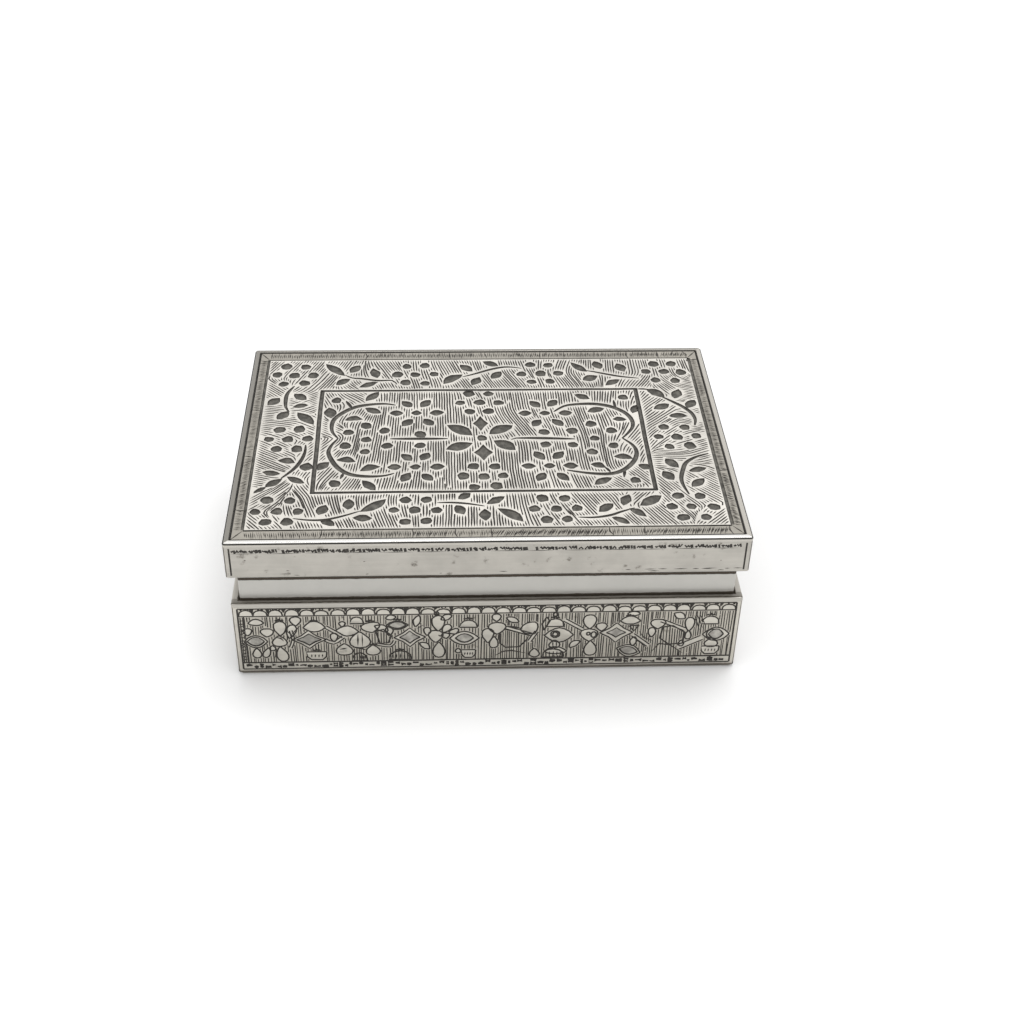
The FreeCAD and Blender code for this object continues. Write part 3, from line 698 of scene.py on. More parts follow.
class LidDrawing(Drawing):
    """The drawing of the lid, cut motif by motif."""

    # Field inside the border band, and the frame line round the inner panel
    FIELD = (-74.3, -49.4, 74.3, 49.2)
    PANEL = (-54.7, -30.5, 53.3, 28.8)
    PANEL_END_LINE = 1.5
    PANEL_SIDE_LINE = 1.2

    # Seam along the edge of the plate and how far in it lies, and folds and mitres in the band
    EDGE_SEAM = 0.65
    EDGE_INSET = 0.35
    FOLD = 0.6
    MITRE = 0.5

    DOT_RADIUS = 1.92
    DOT_STEP = 6.4
    ROW_STEP = 5.6

    # Hatching: distance between rows as a share of the pitch, step along a stroke and between
    # first strokes, reach to each side, and room that a stroke needs to start and to go on
    ROW_SPREAD = 1.22
    TRACE_STEP = 0.4
    SEED_STEP = 3.0
    REACH = (20.0, 60.0)
    ROOM_TO_START = 0.93
    ROOM_TO_GO_ON = 0.5
    LEAST_POINTS = 5

    # Seven-dot clusters, by their middles
    CLUSTERS = [
        (-64.9, 39.2), (-22.7, 39.1), (20.9, 39.3), (64.6, 39.8), (-64.5, -0.5), (63.9, -0.8),
        (-64.8, -40.0), (-22.4, -40.1), (20.8, -40.1), (63.6, -39.7), (-1.1, 20.6), (-0.6, -22.4)]

    # Loose dots inside the two scrolls and beside the flowers
    DOTS = [
        (-39, 7), (-44.8, 3.2), (-32.9, 4), (-38.8, -1.2), (-45.4, -4.7), (-31.9, -4.8), (-39, -8.2),
        (35.9, 7), (29.4, 3), (42.5, 3), (36.5, -1.5), (42.3, -5.8), (29, -5.2), (34.9, -9.3),
        (-21, 1.7), (-21.1, -4.8), (20, 2.4), (20, -4.9), (-49.6, 22.7), (-48, -25.7),
        (48.5, 23.4), (47.4, -25.3), (-0.7, -0.8)]

    # Six-leaf flowers, by their middles
    FLOWERS = [(-22.5, 14.6), (20.9, 13.9), (-22.6, -16.9), (20.5, -17.0)]

    # Lozenges over and under the middle, as x, y, half width and half height
    DIAMONDS = [(-1.0, 7.9, 2.6, 4.6), (-0.5, -9.1, 3.2, 4.7)]

    # Leaves as x, y, angle, length, width and lean
    ROSETTE = [
        (-8.1, 3.9, -37, 10.5, 4.8, 0.2), (5.8, 4.0, 33, 9.7, 4.6, 0.2),
        (-8.3, -5.5, 23, 9.5, 4.6, 0), (6.5, -5.1, -38, 9.3, 4.7, 0.2)]
    PANEL_LEAVES = [
        (-37.5, 25.1, 52, 7.3, 3.2, 0), (-51.4, 15.1, 100, 6.8, 4.0, 0), (-37, 16.2, -31, 6.6, 3.3, 0),
        (-43.3, 10.6, 3, 6.0, 3.0, 0.7), (-45, -13.3, -11, 6.5, 3.2, 0.5),
        (-37, -17.8, 20, 6.9, 3.4, 0.5), (-37.1, -26.8, -51, 7.0, 3.2, 0), (34.4, 24, -29, 6.1, 3.3, 0),
        (51.6, 16, 70, 5.5, 3.0, 0), (38.4, 15.4, 20, 6.6, 3.2, 0.2), (45.8, 9.7, -5, 5.0, 2.7, 0.2),
        (44.8, -12.8, -11, 6.3, 3.0, 0.5), (36.2, -17.2, -20, 5.2, 3.1, 0.3),
        (37, -25.8, 32, 7.2, 3.2, 0.2), (51.3, -18, -29, 5.0, 3.2, 0), (-52, -16, 52, 6.0, 3.5, 0.2)]
    BORDER_LEAVES = [
        (-51, 42.6, -49, 10.6, 3.5, 0), (-44.1, 43, 57, 6.2, 3.6, 0), (-37, 40.2, 106, 6.8, 3.4, 0),
        (-48, 34.5, 41, 6.4, 3.2, 0.2), (-39.1, 32.6, 28, 7.5, 2.8, 0.1),
        (-5, 43.2, -46, 6.5, 3.4, 0), (-9.8, 35.8, 41, 9.4, 3.9, 0.4), (-1.9, 34.5, 63, 6.0, 3.5, 0),
        (3.7, 46, -30, 6.4, 3.2, 0), (5.4, 38.4, 55, 6.1, 3.5, 0),
        (34.8, 43.5, -50, 8.7, 3.0, -0.2), (41.5, 44.7, 109, 5.9, 3.5, 0), (49.5, 43, 112, 6.0, 3.9, 0),
        (38.2, 36.1, 28, 6.2, 3.8, 0), (45.9, 33, 35, 6.8, 3.0, 0.2),
        (-70.8, 22.4, 50, 6.0, 3.6, 0), (-62, 25.2, -41, 6.0, 3.6, 0), (-61.6, 19.3, 15, 5.7, 2.7, 0.2),
        (-67.1, 13.8, 57, 6.3, 3.6, 0), (-59.5, 11.7, -51, 9.4, 3.7, 0.1),
        (-64, -13.3, -13, 5.7, 3.3, 0.4), (-68.3, -19.6, -12, 5.9, 2.9, 0),
        (-67.2, -25, 42, 7.0, 3.0, 0), (-71.1, -28.6, 42, 5.2, 1.8, 0), (-60.3, -23.5, -33, 7.0, 2.7, 0),
        (-57.4, -16.3, 80, 4.8, 4.2, 0), (60, 26, -44, 8.0, 4.0, 0.2), (67.3, 25.4, 69, 6.5, 3.7, 0),
        (71.3, 19, 57, 6.2, 3.6, 0), (61.1, 17.4, 29, 6.6, 3.5, 0), (66, 11.4, 0, 6.4, 3.1, 0.3),
        (60.2, -16, -54, 6.5, 3.6, 0), (68, -19.8, 16, 6.3, 2.9, 0), (58.2, -23, -62, 6.0, 3.6, 0),
        (67.2, -27, 45, 6.4, 3.2, 0),
        (-51.1, -39.4, 70, 5.6, 3.7, 0), (-43.1, -36.7, 90, 5.7, 3.7, 0),
        (-35.6, -37.3, 39, 10.4, 3.5, -0.3), (-38.6, -43.8, -2, 6.1, 3.2, 0),
        (-49.2, -46.2, -30, 5.5, 3.0, 0.3),
        (-7.2, -33, 40, 5.0, 3.0, 0), (-8.7, -40, -63, 5.5, 3.6, 0), (-1, -42.8, 90, 6.2, 3.6, 0),
        (2.5, -35.3, 35, 7.0, 3.1, 0), (6.8, -43, -42, 10.6, 3.8, 0.3),
        (36.6, -39.7, 42, 6.4, 3.4, 0), (43.2, -35.8, 67, 6.3, 3.4, 0), (51, -36.3, 35, 9.0, 4.0, 0),
        (46.2, -42.5, -42, 6.7, 2.8, 0.2), (40.5, -46.4, -33, 6.4, 2.7, 0.2)]

    # Vine stems, each with its width
    STEMS = [
        (0.8, [(-47.5, 39.2), (-45, 37.2), (-41.5, 36.6), (-36, 35.3), (-31, 35.3), (-29.3, 32.7)]),
        (0.9, [(-6.5, 37.4), (-2, 39.4), (3, 42), (7.5, 43.6), (11, 43.7), (14.5, 42.8)]),
        (0.8, [(36.5, 41.3), (40, 40.2), (44.5, 38.5), (49, 37), (55.5, 35.7)]),
        (1.3, [(-64.5, 32.2), (-66.5, 27.7), (-66.9, 23.7), (-66.5, 18.7), (-65.2, 15.8)]),
        (1.2, [(-58.4, -3.8), (-58.4, -8.3), (-59.5, -13.3), (-61.5, -17.8), (-65, -22.6)]),
        (1.4, [(61.8, 23.8), (65.5, 20.2), (68.5, 17), (70.8, 13.2), (71.5, 9.2), (70.8, 5.7)]),
        (1.4, [(73, -10.8), (68.5, -12.8), (65, -15.8), (63.5, -19.3), (62.2, -24.3), (62.3, -28.3),
               (63.5, -33.3)]),
        (0.7, [(-59.8, -43.6), (-55, -44.5), (-50, -44.4), (-45, -42.8), (-39.5, -40.2)]),
        (0.6, [(-15.8, -36.3), (-11, -36.3), (-6, -37), (-1, -38.3)]),
        (0.8, [(27.5, -44.5), (32.5, -44.7), (37.5, -43.7), (41, -42), (45.5, -40)]),
        (1.25, [(-31, -0.8), (-21, -0.9), (-12, -1)]),
        (1.25, [(8.8, -1.8), (10.5, -1), (20, -1.2), (30, -1.8)]),
        (1.8, [(-29.5, 19.5), (-33, 20.4), (-38, 20), (-43, 18.5), (-47, 15.2), (-49.8, 11.2),
               (-50.5, 7.2), (-50, 3.2), (-48, -0.4)]),
        (1.8, [(-48, -0.3), (-50, -4.3), (-50.8, -8.3), (-49.5, -12.8), (-47.5, -16.8), (-44.5, -20),
               (-41, -21.5), (-36, -22), (-32, -21.5), (-29.3, -20.3)]),
        (1.8, [(24, 14.7), (26.5, 17.2), (29, 18.7), (34, 19.4), (38, 19.4), (42, 18.4), (45.5, 16.4),
               (48.5, 13.2), (50, 9.2), (49.8, 5.2), (48, 1.7), (45.6, -1.6)]),
        (1.8, [(45.6, -1.4), (48.5, -5.3), (49.5, -9.3), (48.5, -13.8), (46, -17.8), (43, -20.5),
               (39, -21.8), (33, -21.3), (26, -19.5)]),
        (1.0, [(-46.4, 22.4), (-45.2, 20), (-44.2, 17.8)]),
        (0.9, [(-45.4, -19.6), (-45.8, -21.5), (-46.3, -23.2)]),
        (0.7, [(45, 21.7), (45.1, 19), (45.3, 16.2)]),
        (0.8, [(44.6, -19.8), (44.2, -22), (43.9, -23.8)]),
        (0.8, [(38, -17.7), (39, -19), (39.8, -20.8)]),
        (0.7, [(54, 28.7), (56, 28.7), (58.3, 28.2)])]

    # Run of the hatching, as x, y and angle
    GUIDES = [
        (-30, 24, 88), (-15, 24, 90), (-12, 5, 90), (-28, 5, 88), (-28, -12, 88), (-12, -12, 90),
        (-12, -26, 90), (-30, -26, 82), (10, 24, 92), (12, 7, 113), (25, 24, 90), (30, 8, 100),
        (12, -12, 90), (28, -12, 92), (15, -27, 95), (38, 8, 96), (40, -10, 92), (-40, 0, 85),
        (-40, -16, 85), (-44, 26, 140), (-51, 25, 115), (-52, 4, 145), (-52, -5, 55), (-52, -19, 62),
        (-48, -27, 62), (-44, 14, 70), (45, 24, 82), (46, 12, 105), (51, 8, 65), (50, -4, 55),
        (51, -10, 68), (30, -26, 102), (42, -27, 132), (49, -22, 125),
        (-72, 46, 62), (-57, 38, 66), (-56, 32, 62), (-49, 47, 70), (-32, 43, 114), (-32, 32, 110),
        (-22, 47, 92), (-12, 43, 107), (-3, 33, 113), (5, 46, 97), (10, 34, 115), (30, 45, 75),
        (31, 35, 110), (42, 47, 88), (56, 46, 92), (56, 32, 57), (63, 30, 122), (72, 46, 95),
        (-72, 29, 135), (-58, 25, 30), (-72, 16, 170), (-71, -12, 145), (-72, -24, 162), (-64, -28, 50),
        (-59, -29, 122), (-72, -34, 45), (-55, -38, 108), (-72, -47, 130),
        (60, 20, 47), (72, 29, 160), (73, 12, 150), (57, 8, 42), (57, -13, 175), (72, -6, 25),
        (57, -28, 122), (71, -29, 135), (72, -47, 45),
        (-50, -35, 103), (-47, -48, 110), (-33, -46, 106), (-14, -45, 88), (0, -33, 90), (30, -36, 115),
        (31, -46, 115), (48, -45, 120), (56, -42, 122), (48, -33, 50)]

    def __init__(self, half_width, half_height, sizes):
        super().__init__(Engraving(half_width, half_height, sizes, ground=FIELD), sizes.seed)
        self.stencil = Stencil(half_width, half_height)
        self.halo = sizes.halo / MM
        self.pitch = sizes.hatch_pitch / MM
        self.row_pitch = self.pitch * self.ROW_SPREAD
        self.hatch_width = sizes.hatch_width / MM
        self.taken = {}
        guides = np.array(self.GUIDES, float)
        self.guide_x, self.guide_y = guides[:, 0], guides[:, 1]
        doubled = np.radians(guides[:, 2]) * 2
        self.guide_cos, self.guide_sin = np.cos(doubled), np.sin(doubled)

    def sink(self, outline, narrow):
        """Sinks a shape whose narrow half width sets how steep its walls look."""
        self.engraving.pocket(outline, shrunk(outline, 1 - self.engraving.slope / narrow))
        self.stencil.cover(outline, self.halo)

    def dot(self, x, y):
        """A roughly round dot with a flattened foot."""
        radius = self.DOT_RADIUS * (1 + self.wobble(0.1))
        squash = 1.02 + self.wobble(0.1)
        shape = []
        for turn in turns(9):
            turn += self.wobble(0.2)
            reach = radius * (1 + self.wobble(0.11))
            rise = max(math.sin(turn) * reach, -0.84 * radius)
            shape.append((math.cos(turn) * reach, rise * squash))
        self.sink(turned(shape, self.wobble(14), x, y), radius)

    def cluster(self, x, y):
        """Seven dots in rows of two, three and two."""
        for row, places in ((1, (-0.52, 0.5)), (0, (-1, 0, 1)), (-1, (-0.5, 0.52))):
            for place in places:
                self.dot(x + place * self.DOT_STEP + self.wobble(0.35),
                         y + row * self.ROW_STEP + self.wobble(0.35))

    def leaf(self, x, y, angle, length, width, lean=0.0):
        outline = leaf_outline(x, y, angle, length, width * 1.06, lean)
        self.sink([(u + self.wobble(0.14), v + self.wobble(0.14)) for u, v in outline], width / 2)

    def flower(self, x, y):
        """A bud in the middle, a leaf at each side and four leaves on the diagonals."""
        self.leaf(x, y, 0, 3.9, 2.9)
        self.leaf(x - 6.7, y, self.wobble(6), 4.8, 3.2)
        self.leaf(x + 6.9, y, self.wobble(6), 5.0, 3.4)
        for across, up, angle in ((-3, 5.6, -52), (3.1, 6, 56), (-3, -5.7, 56), (3.9, -5.8, -48)):
            self.leaf(x + across + self.wobble(0.3), y + up + self.wobble(0.3),
                      angle + self.wobble(6), 5.6 + self.wobble(0.4), 3.3)

    def stem(self, width, points):
        """A vine stem, fullest in its middle and drawn out at both ends."""
        path = smooth_path(points, 1.3)
        last = len(path) - 1
        full = 0.55 + 0.7 * width
        widths = [full * (0.3 + 0.7 * abs(math.sin(math.pi * i / last)) ** 0.8)
                  for i in range(len(path))]
        self.engraving.channel(path, widths, GROOVE if width < 1.3 else FLOOR)
        self.stencil.cover(path_outline(path, widths), self.halo)

    def straight(self, start, stop, width, finish):
        """A flat-bottomed line of even width, run a little unevenly by hand."""
        start, stop = Vector(start), Vector(stop)
        steps = max(3, int((stop - start).length / 9))
        path = [start]
        for i in range(1, steps):
            path.append(start.lerp(stop, i / steps) + Vector((self.wobble(0.12), self.wobble(0.12))))
        path.append(stop)
        for place, other in ((1, path[1]), (-1, path[-2])):
            end = path[0] if place == 1 else path[-1]
            path.insert(place, end + (other - end).normalized() * 0.3)
        path = [tuple(point) for point in path]
        self.engraving.channel(path, [width] * len(path), finish)
        self.stencil.cover(path_outline(path, [width] * len(path)), self.halo * 0.6)

    def panel(self):
        """The frame line round the inner panel, heavy at the ends and fine along the length."""
        low_x, low_y, high_x, high_y = self.PANEL
        self.straight((low_x, low_y - 0.5), (low_x, high_y + 0.3), self.PANEL_END_LINE, FLOOR)
        self.straight((high_x, low_y - 0.3), (high_x, high_y + 0.5), self.PANEL_END_LINE, FLOOR)
        for y in (high_y, low_y):
            self.straight((low_x - 0.6, y), (high_x + 0.6, y), self.PANEL_SIDE_LINE, SEAM)

    def band(self):
        """The border band: close strokes across it in slanting runs, mitred corners and edge seams."""
        low_x, low_y, high_x, high_y = self.FIELD
        self.engraving.loop([(low_x, low_y), (high_x, low_y), (high_x, high_y), (low_x, high_y)], 0.0, BARE)
        wide = self.engraving.half_width - self.EDGE_INSET
        high = self.engraving.half_height - self.EDGE_INSET
        for y, outer_y in ((low_y, -high), (high_y, high)):
            for x, outer_x in ((low_x, -wide), (high_x, wide)):
                self.engraving.groove([(x, y), (outer_x, outer_y)], self.MITRE)
        for y, outer, width in ((low_y, -high, 0.7), (high_y, high, 0.6)):
            self.band_lines(y, outer, width, high_x, wide, lengthwise)
            self.strokes_across(low_x, high_x, y, outer, lengthwise)
        for x, outer, width in ((low_x, -wide, 1.0), (high_x, wide, 1.2)):
            self.band_lines(x, outer, width, high_y, high, crosswise)
            self.strokes_across(low_y, high_y, x, outer, crosswise)

    def band_lines(self, inner, outer, width, stop, outer_stop, place):
        """A broad grey line beside the field and a black seam along the edge."""
        inner += math.copysign(width / 2 - 0.25, outer)
        inside = [place(-stop, inner), place(stop, inner)]
        edge = [place(-outer_stop, outer), place(outer_stop, outer)]
        self.engraving.groove(inside, width, blunt=True, finish=FLOOR)
        self.engraving.groove(edge, self.EDGE_SEAM, blunt=True, finish=SEAM)

    def strokes_across(self, start, stop, inner, outer, place):
        """Runs of close strokes from a band's inner line to its edge, each run with its own slant."""
        along = start + 0.4
        while along < stop - 0.8:
            run_end = along + self.hand.uniform(9, 40)
            slant = self.hand.uniform(-1.2, 1.2)
            heavy = self.hand.uniform(0.24, 0.42)
            step = self.hand.uniform(0.46, 0.66)
            while along < min(run_end, stop - 0.8):
                near = inner + (outer - inner) * self.hand.uniform(0.14, 0.3)
                far = inner + (outer - inner) * self.hand.uniform(0.7, 1.0)
                lean = min(max(along + slant + self.wobble(0.15), start), stop)
                width = heavy * self.hand.uniform(0.6, 1.4)
                self.engraving.groove([place(along, near), place(lean, far)], width)
                along += step * self.hand.uniform(0.85, 1.2)
            middle = place(along + self.wobble(0.8), (inner + outer) / 2)
            fold = [place(along, inner), middle, place(min(max(along - slant, start), stop), outer)]
            self.engraving.groove(fold, self.FOLD)
            along += 0.9

    def heading(self, x, y):
        """The run of the hatching at a point, from the nearest guides."""
        dx = self.guide_x - x
        dy = self.guide_y - y
        weight = 1.0 / (dx * dx + dy * dy + 9.0) ** 2
        return 0.5 * math.atan2((weight * self.guide_sin).sum(), (weight * self.guide_cos).sum())

    def hatch(self):
        """Evenly spaced strokes that follow the guides and stop short of every motif."""
        low_x, low_y, high_x, high_y = self.FIELD
        y = low_y + 2.0
        while y < high_y:
            x = low_x + 2.0
            while x < high_x:
                self.hatch_from([(x + self.wobble(0.5), y + self.wobble(0.5))])
                x += self.SEED_STEP
            y += self.SEED_STEP

    def hatch_from(self, seeds):
        """Draws a stroke at each free seed, and then beside every stroke drawn."""
        while seeds:
            x, y = seeds.pop(0)
            if not self.roomy(x, y, self.ROOM_TO_START):
                continue
            path = self.trace(x, y)
            if len(path) < self.LEAST_POINTS:
                continue
            for point in path:
                self.taken.setdefault(self.cell(*point), []).append(point)
            self.stroke(path)
            for (px, py), (nx, ny) in zip(path[::4], path_normals(path)[::4]):
                for side in (-1, 1):
                    seeds.append((px + nx * side * self.pitch, py + ny * side * self.row_pitch))

    def cell(self, x, y):
        return int(x // self.pitch), int(y // self.row_pitch)

    def roomy(self, x, y, share):
        """True inside the field, off every motif and that share of a pitch from other strokes."""
        low_x, low_y, high_x, high_y = self.FIELD
        if not (low_x + 0.4 < x < high_x - 0.4 and low_y + 0.4 < y < high_y - 0.4):
            return False
        if not self.stencil.free(x, y):
            return False
        column, row = self.cell(x, y)
        for i in (column - 1, column, column + 1):
            for j in (row - 1, row, row + 1):
                for px, py in self.taken.get((i, j), ()):
                    if math.hypot((px - x) / self.pitch, (py - y) / self.row_pitch) < share:
                        return False
        return True

    def trace(self, x, y):
        """A path through the point along the heading, both ways, as far as there is room."""
        halves = []
        for sign in (1, -1):
            half = []
            px, py = x, y
            run = self.heading(px, py) + (0 if sign > 0 else math.pi)
            phase = self.hand.uniform(0, 6)
            for i in range(int(self.hand.uniform(*self.REACH) / self.TRACE_STEP)):
                turn = self.heading(px, py) + 0.04 * math.sin(phase + 0.3 * i)
                if math.cos(turn - run) < 0:
                    turn += math.pi
                run = turn
                px += self.TRACE_STEP * math.cos(run)
                py += self.TRACE_STEP * math.sin(run)
                if not self.roomy(px, py, self.ROOM_TO_GO_ON):
                    break
                half.append((px, py))
            halves.append(half)
        return halves[1][::-1] + [(x, y)] + halves[0]

    def stroke(self, path):
        kept = path[:-1:4] + [path[-1]]
        self.engraving.groove(kept, self.hatch_width * self.hand.uniform(0.8, 1.15))

    def draw(self):
        self.panel()
        for width, points in self.STEMS:
            self.stem(width, points)
        for x, y in self.CLUSTERS:
            self.cluster(x, y)
        for x, y in self.DOTS:
            self.dot(x, y)
        for x, y in self.FLOWERS:
            self.flower(x, y)
        for leaf in self.ROSETTE + self.PANEL_LEAVES + self.BORDER_LEAVES:
            self.leaf(*leaf)
        for x, y, half_width, half_height in self.DIAMONDS:
            self.sink(lozenge_outline(x, y, half_width, half_height), half_width * 0.7)
        self.band()
        self.hatch()
        return self.engraving.sheet()


class FriezeDrawing(Drawing):
    """The drawing of a case wall: scallops, a row of flowers and lozenges, and a dotted foot."""

    # Heights above the floor
    TOP_LINE = 27.45
    SCALLOP_FOOT = 24.55
    FIELD_FOOT = 5.15
    FOOT_LINE = 2.45
    END_MARGIN = 0.75
    END_COLUMN = 1.7
    SCALLOP_PITCH = 4.7
    HATCH_PITCH = 0.8
    HATCH_STEP = 0.3
    STIPPLE_DEPTH = 0.12

    # Bare silver left round a shape, and room between the shapes and the ends of the wall
    HALO = 0.3
    END_ROOM = 0.5

    # Shares of the frieze's line width
    INNER_LINE = 0.9
    PEN_LINE = 1.1
    HATCH_LINE = (0.5, 0.78)

    # Least and most of what varies by hand; rises are shares of the scallops' height
    DOME_RISE = (0.62, 0.86)
    WEDGE_RISE = (0.4, 0.7)
    WEDGE_WIDTH = (1.1, 1.9)
    DASH_LENGTH = (0.8, 2.2)
    DASH_WIDTH = (0.5, 1.5)
    DASH_GAP = (0.2, 0.6)

    # Bare petals as x, height, half width, half height and turn
    PETALS = [
        (-75.3, 18, 1.2, 1.4, 0), (-69.3, 17.6, 1.9, 1.6, 0), (-65.15, 19.25, 1.85, 2.75, 0),
        (-65.6, 14.1, 2.1, 2.1, 0), (-65.2, 8.6, 1.7, 2.9, 10), (-69.8, 9.4, 1.0, 2.1, -25),
        (-73, 9.2, 1.25, 1.9, 0), (-68, 11.2, 0.9, 1, 0), (-61.8, 17.9, 1.4, 2.7, -15),
        (-60.2, 22.2, 1.6, 1.7, 0), (-48.55, 15.25, 1.1, 1.7, 0), (-45.8, 20.7, 0.9, 1, 0),
        (-36.95, 19.2, 2.75, 2, 12), (-40.5, 14.1, 3, 3.1, 0), (-45.5, 10.2, 2.4, 2.3, 0),
        (-36.45, 9.75, 2.05, 2, 0), (-31.2, 17.5, 1.1, 1.7, 0), (-19.3, 17.2, 1, 1.6, 0),
        (-15.8, 20.5, 1.9, 3, 0), (-16.65, 15.1, 2.15, 2.35, 0), (-15.7, 9.5, 1.75, 3, 0),
        (-13.3, 18.3, 1.2, 1.8, -35), (-13.5, 15.3, 1.1, 1.1, 0), (-10.8, 17, 1.5, 1, 25),
        (-9.6, 9, 0.8, 0.9, 0), (-0.2, 15.1, 1.7, 2.8, 0), (2.7, 18.1, 2.5, 2.3, 0),
        (2.45, 22.5, 1.3, 1.4, 0), (1.7, 12.3, 1.3, 2.25, 0), (13.2, 17.75, 2.6, 2.4, 30),
        (14.7, 7.6, 1.5, 1.7, 0), (21, 11.2, 1.6, 1.5, 0), (31.9, 20.2, 1.95, 2.75, 0),
        (31.9, 14.7, 2.6, 2.4, 0), (32.5, 9.2, 1.85, 2.95, 0), (35.7, 18, 1.6, 1.6, 0),
        (51.8, 15.4, 1.1, 1.9, 0), (53.6, 18.9, 2.2, 1.9, 0), (63.6, 18.6, 1.4, 2.7, 0),
        (63.5, 14.2, 0.9, 1.7, 0), (61.5, 10.8, 0.8, 1.2, 0), (71.2, 10.8, 2, 1.7, 0)]

    # Bare leaves as x, height, turn, length, width and lean
    LEAVES = [
        (-54.5, 19.5, 0, 7.1, 4.4, 0.2), (-44.3, 17.9, -5, 7.2, 4.2, 0), (44.7, 20.4, 0, 6.5, 3.4, 0.2),
        (-72.4, 21.6, 0, 5.0, 2.6, 0.3), (-30.6, 23.2, 10, 3.4, 2.0, 0), (-22.3, 21.6, 75, 5.0, 2.2, 0.2),
        (-13.2, 22.9, 28, 4.0, 2.2, 0.1), (-33.6, 18.7, -28, 4.8, 2.6, 0.2), (45.6, 23.4, 0, 4.2, 1.9, 0),
        (60.2, 22.2, -30, 4.4, 2.6, 0.1), (46.2, 11.8, 80, 4.0, 2.2, 0.1), (21.4, 8.0, 0, 7.4, 3.0, 0.3),
        (7.5, 21.6, -25, 4.6, 2.2, 0), (27.4, 11.0, 40, 4.4, 2.2, 0.2), (-20.2, 11.2, -40, 4.2, 2.2, 0.2),
        (22.3, 14.9, 0, 9.3, 6.0, 0)]

    # Leaves with a stippled leaf inside, as x, height, turn, both lengths and both widths
    EYES = [
        (-73.05, 14, 0, (7.4, 5.5), (5.2, 3.7)), (-7.6, 14.2, 0, (9.3, 5.8), (5.6, 3.6)),
        (-28.65, 20, 0, (6.8, 5.6), (3.6, 2.6)), (44.8, 7.9, -15, (8.0, 6.2), (5.0, 3.3)),
        (72.4, 14.4, 0, (8.6, 4.9), (5.7, 4.2))]

    # Lozenges with a stippled lozenge inside, as x, height, half widths and half heights
    LOZENGES = [
        (-56.4, 14.5, (5.4, 3.95), (3.75, 2.4)), (-24.8, 14.9, (5.0, 3.25), (3.9, 2.6)),
        (40.45, 15.6, (5.3, 3.1), (4.1, 2.0))]

    # Bells, pots and hatched mounds as x, height of the foot, half width and rise
    BELLS = [
        (-6.3, 18.7, 2.75, 3.0), (21, 18.5, 2.7, 3.3), (70.2, 18.7, 2.75, 3.2), (-41.2, 20.9, 2.1, 2.8)]
    POTS = [(-54.3, 6, 3.1, 3.3), (-6.3, 6, 2.25, 3.2), (71.1, 6, 2.9, 3.2)]
    MOUNDS = [(-40.8, 5.3, 2.4, 3.4), (-28, 5.6, 3.6, 3.6), (20.7, 5.6, 3.5, 3.5)]

    # Dark teeth on the backs of shapes, as x and height
    TEETH = [
        (-65.2, 22.2), (-54.5, 21.9), (-37, 21.4), (-28.5, 21.9), (-6.5, 21.9), (21, 21.9), (44.5, 22.2),
        (70.2, 22.1), (-54.3, 9.6), (-28, 9.3), (20.7, 9.2), (-36.4, 11.7)]

    # Light straps between the shapes, each with its width
    STRAPS = [
        (1.1, [(-51.05, 19.75), (-45.6, 15.5)]), (1.1, [(-45.6, 15.5), (-48.8, 13), (-51.55, 14.5)]),
        (1.1, [(5.45, 18.4), (13.7, 15.25)]), (1.1, [(13, 12.5), (15.2, 16.6)]),
        (1.2, [(23.9, 21.2), (29.9, 17)]), (1.2, [(45.8, 14.6), (51, 10)]),
        (1.2, [(54.5, 20.4), (62.2, 16.6)]), (1.9, [(60.7, 9), (68, 13)]),
        (0.9, [(-35.5, 12.3), (-31, 11.4), (-29.6, 13.6)]),
        (0.9, [(-62.4, 11.2), (-61.3, 14.5), (-61.9, 18.4)])]

    # Outlines that stay hatched inside
    PENS = [
        [(3.45, 16), (5.2, 17.75), (12.95, 15), (11.95, 13), (9.7, 10.25), (5.45, 10), (3.7, 11.75)],
        [(-35.5, 17.6), (-33, 18.4), (-30.6, 15.8), (-31.6, 12.8), (-34.3, 12.4)],
        [(44.5, 18.5), (47.5, 18.5), (46, 16)],
        [(55.2, 17.6), (58.4, 18.2), (62.3, 15.4), (62, 10.6), (57.6, 10.4), (54.6, 13)],
        [(17.4, 17), (19.2, 20.8), (18.3, 22.6), (16.8, 19.6)]]

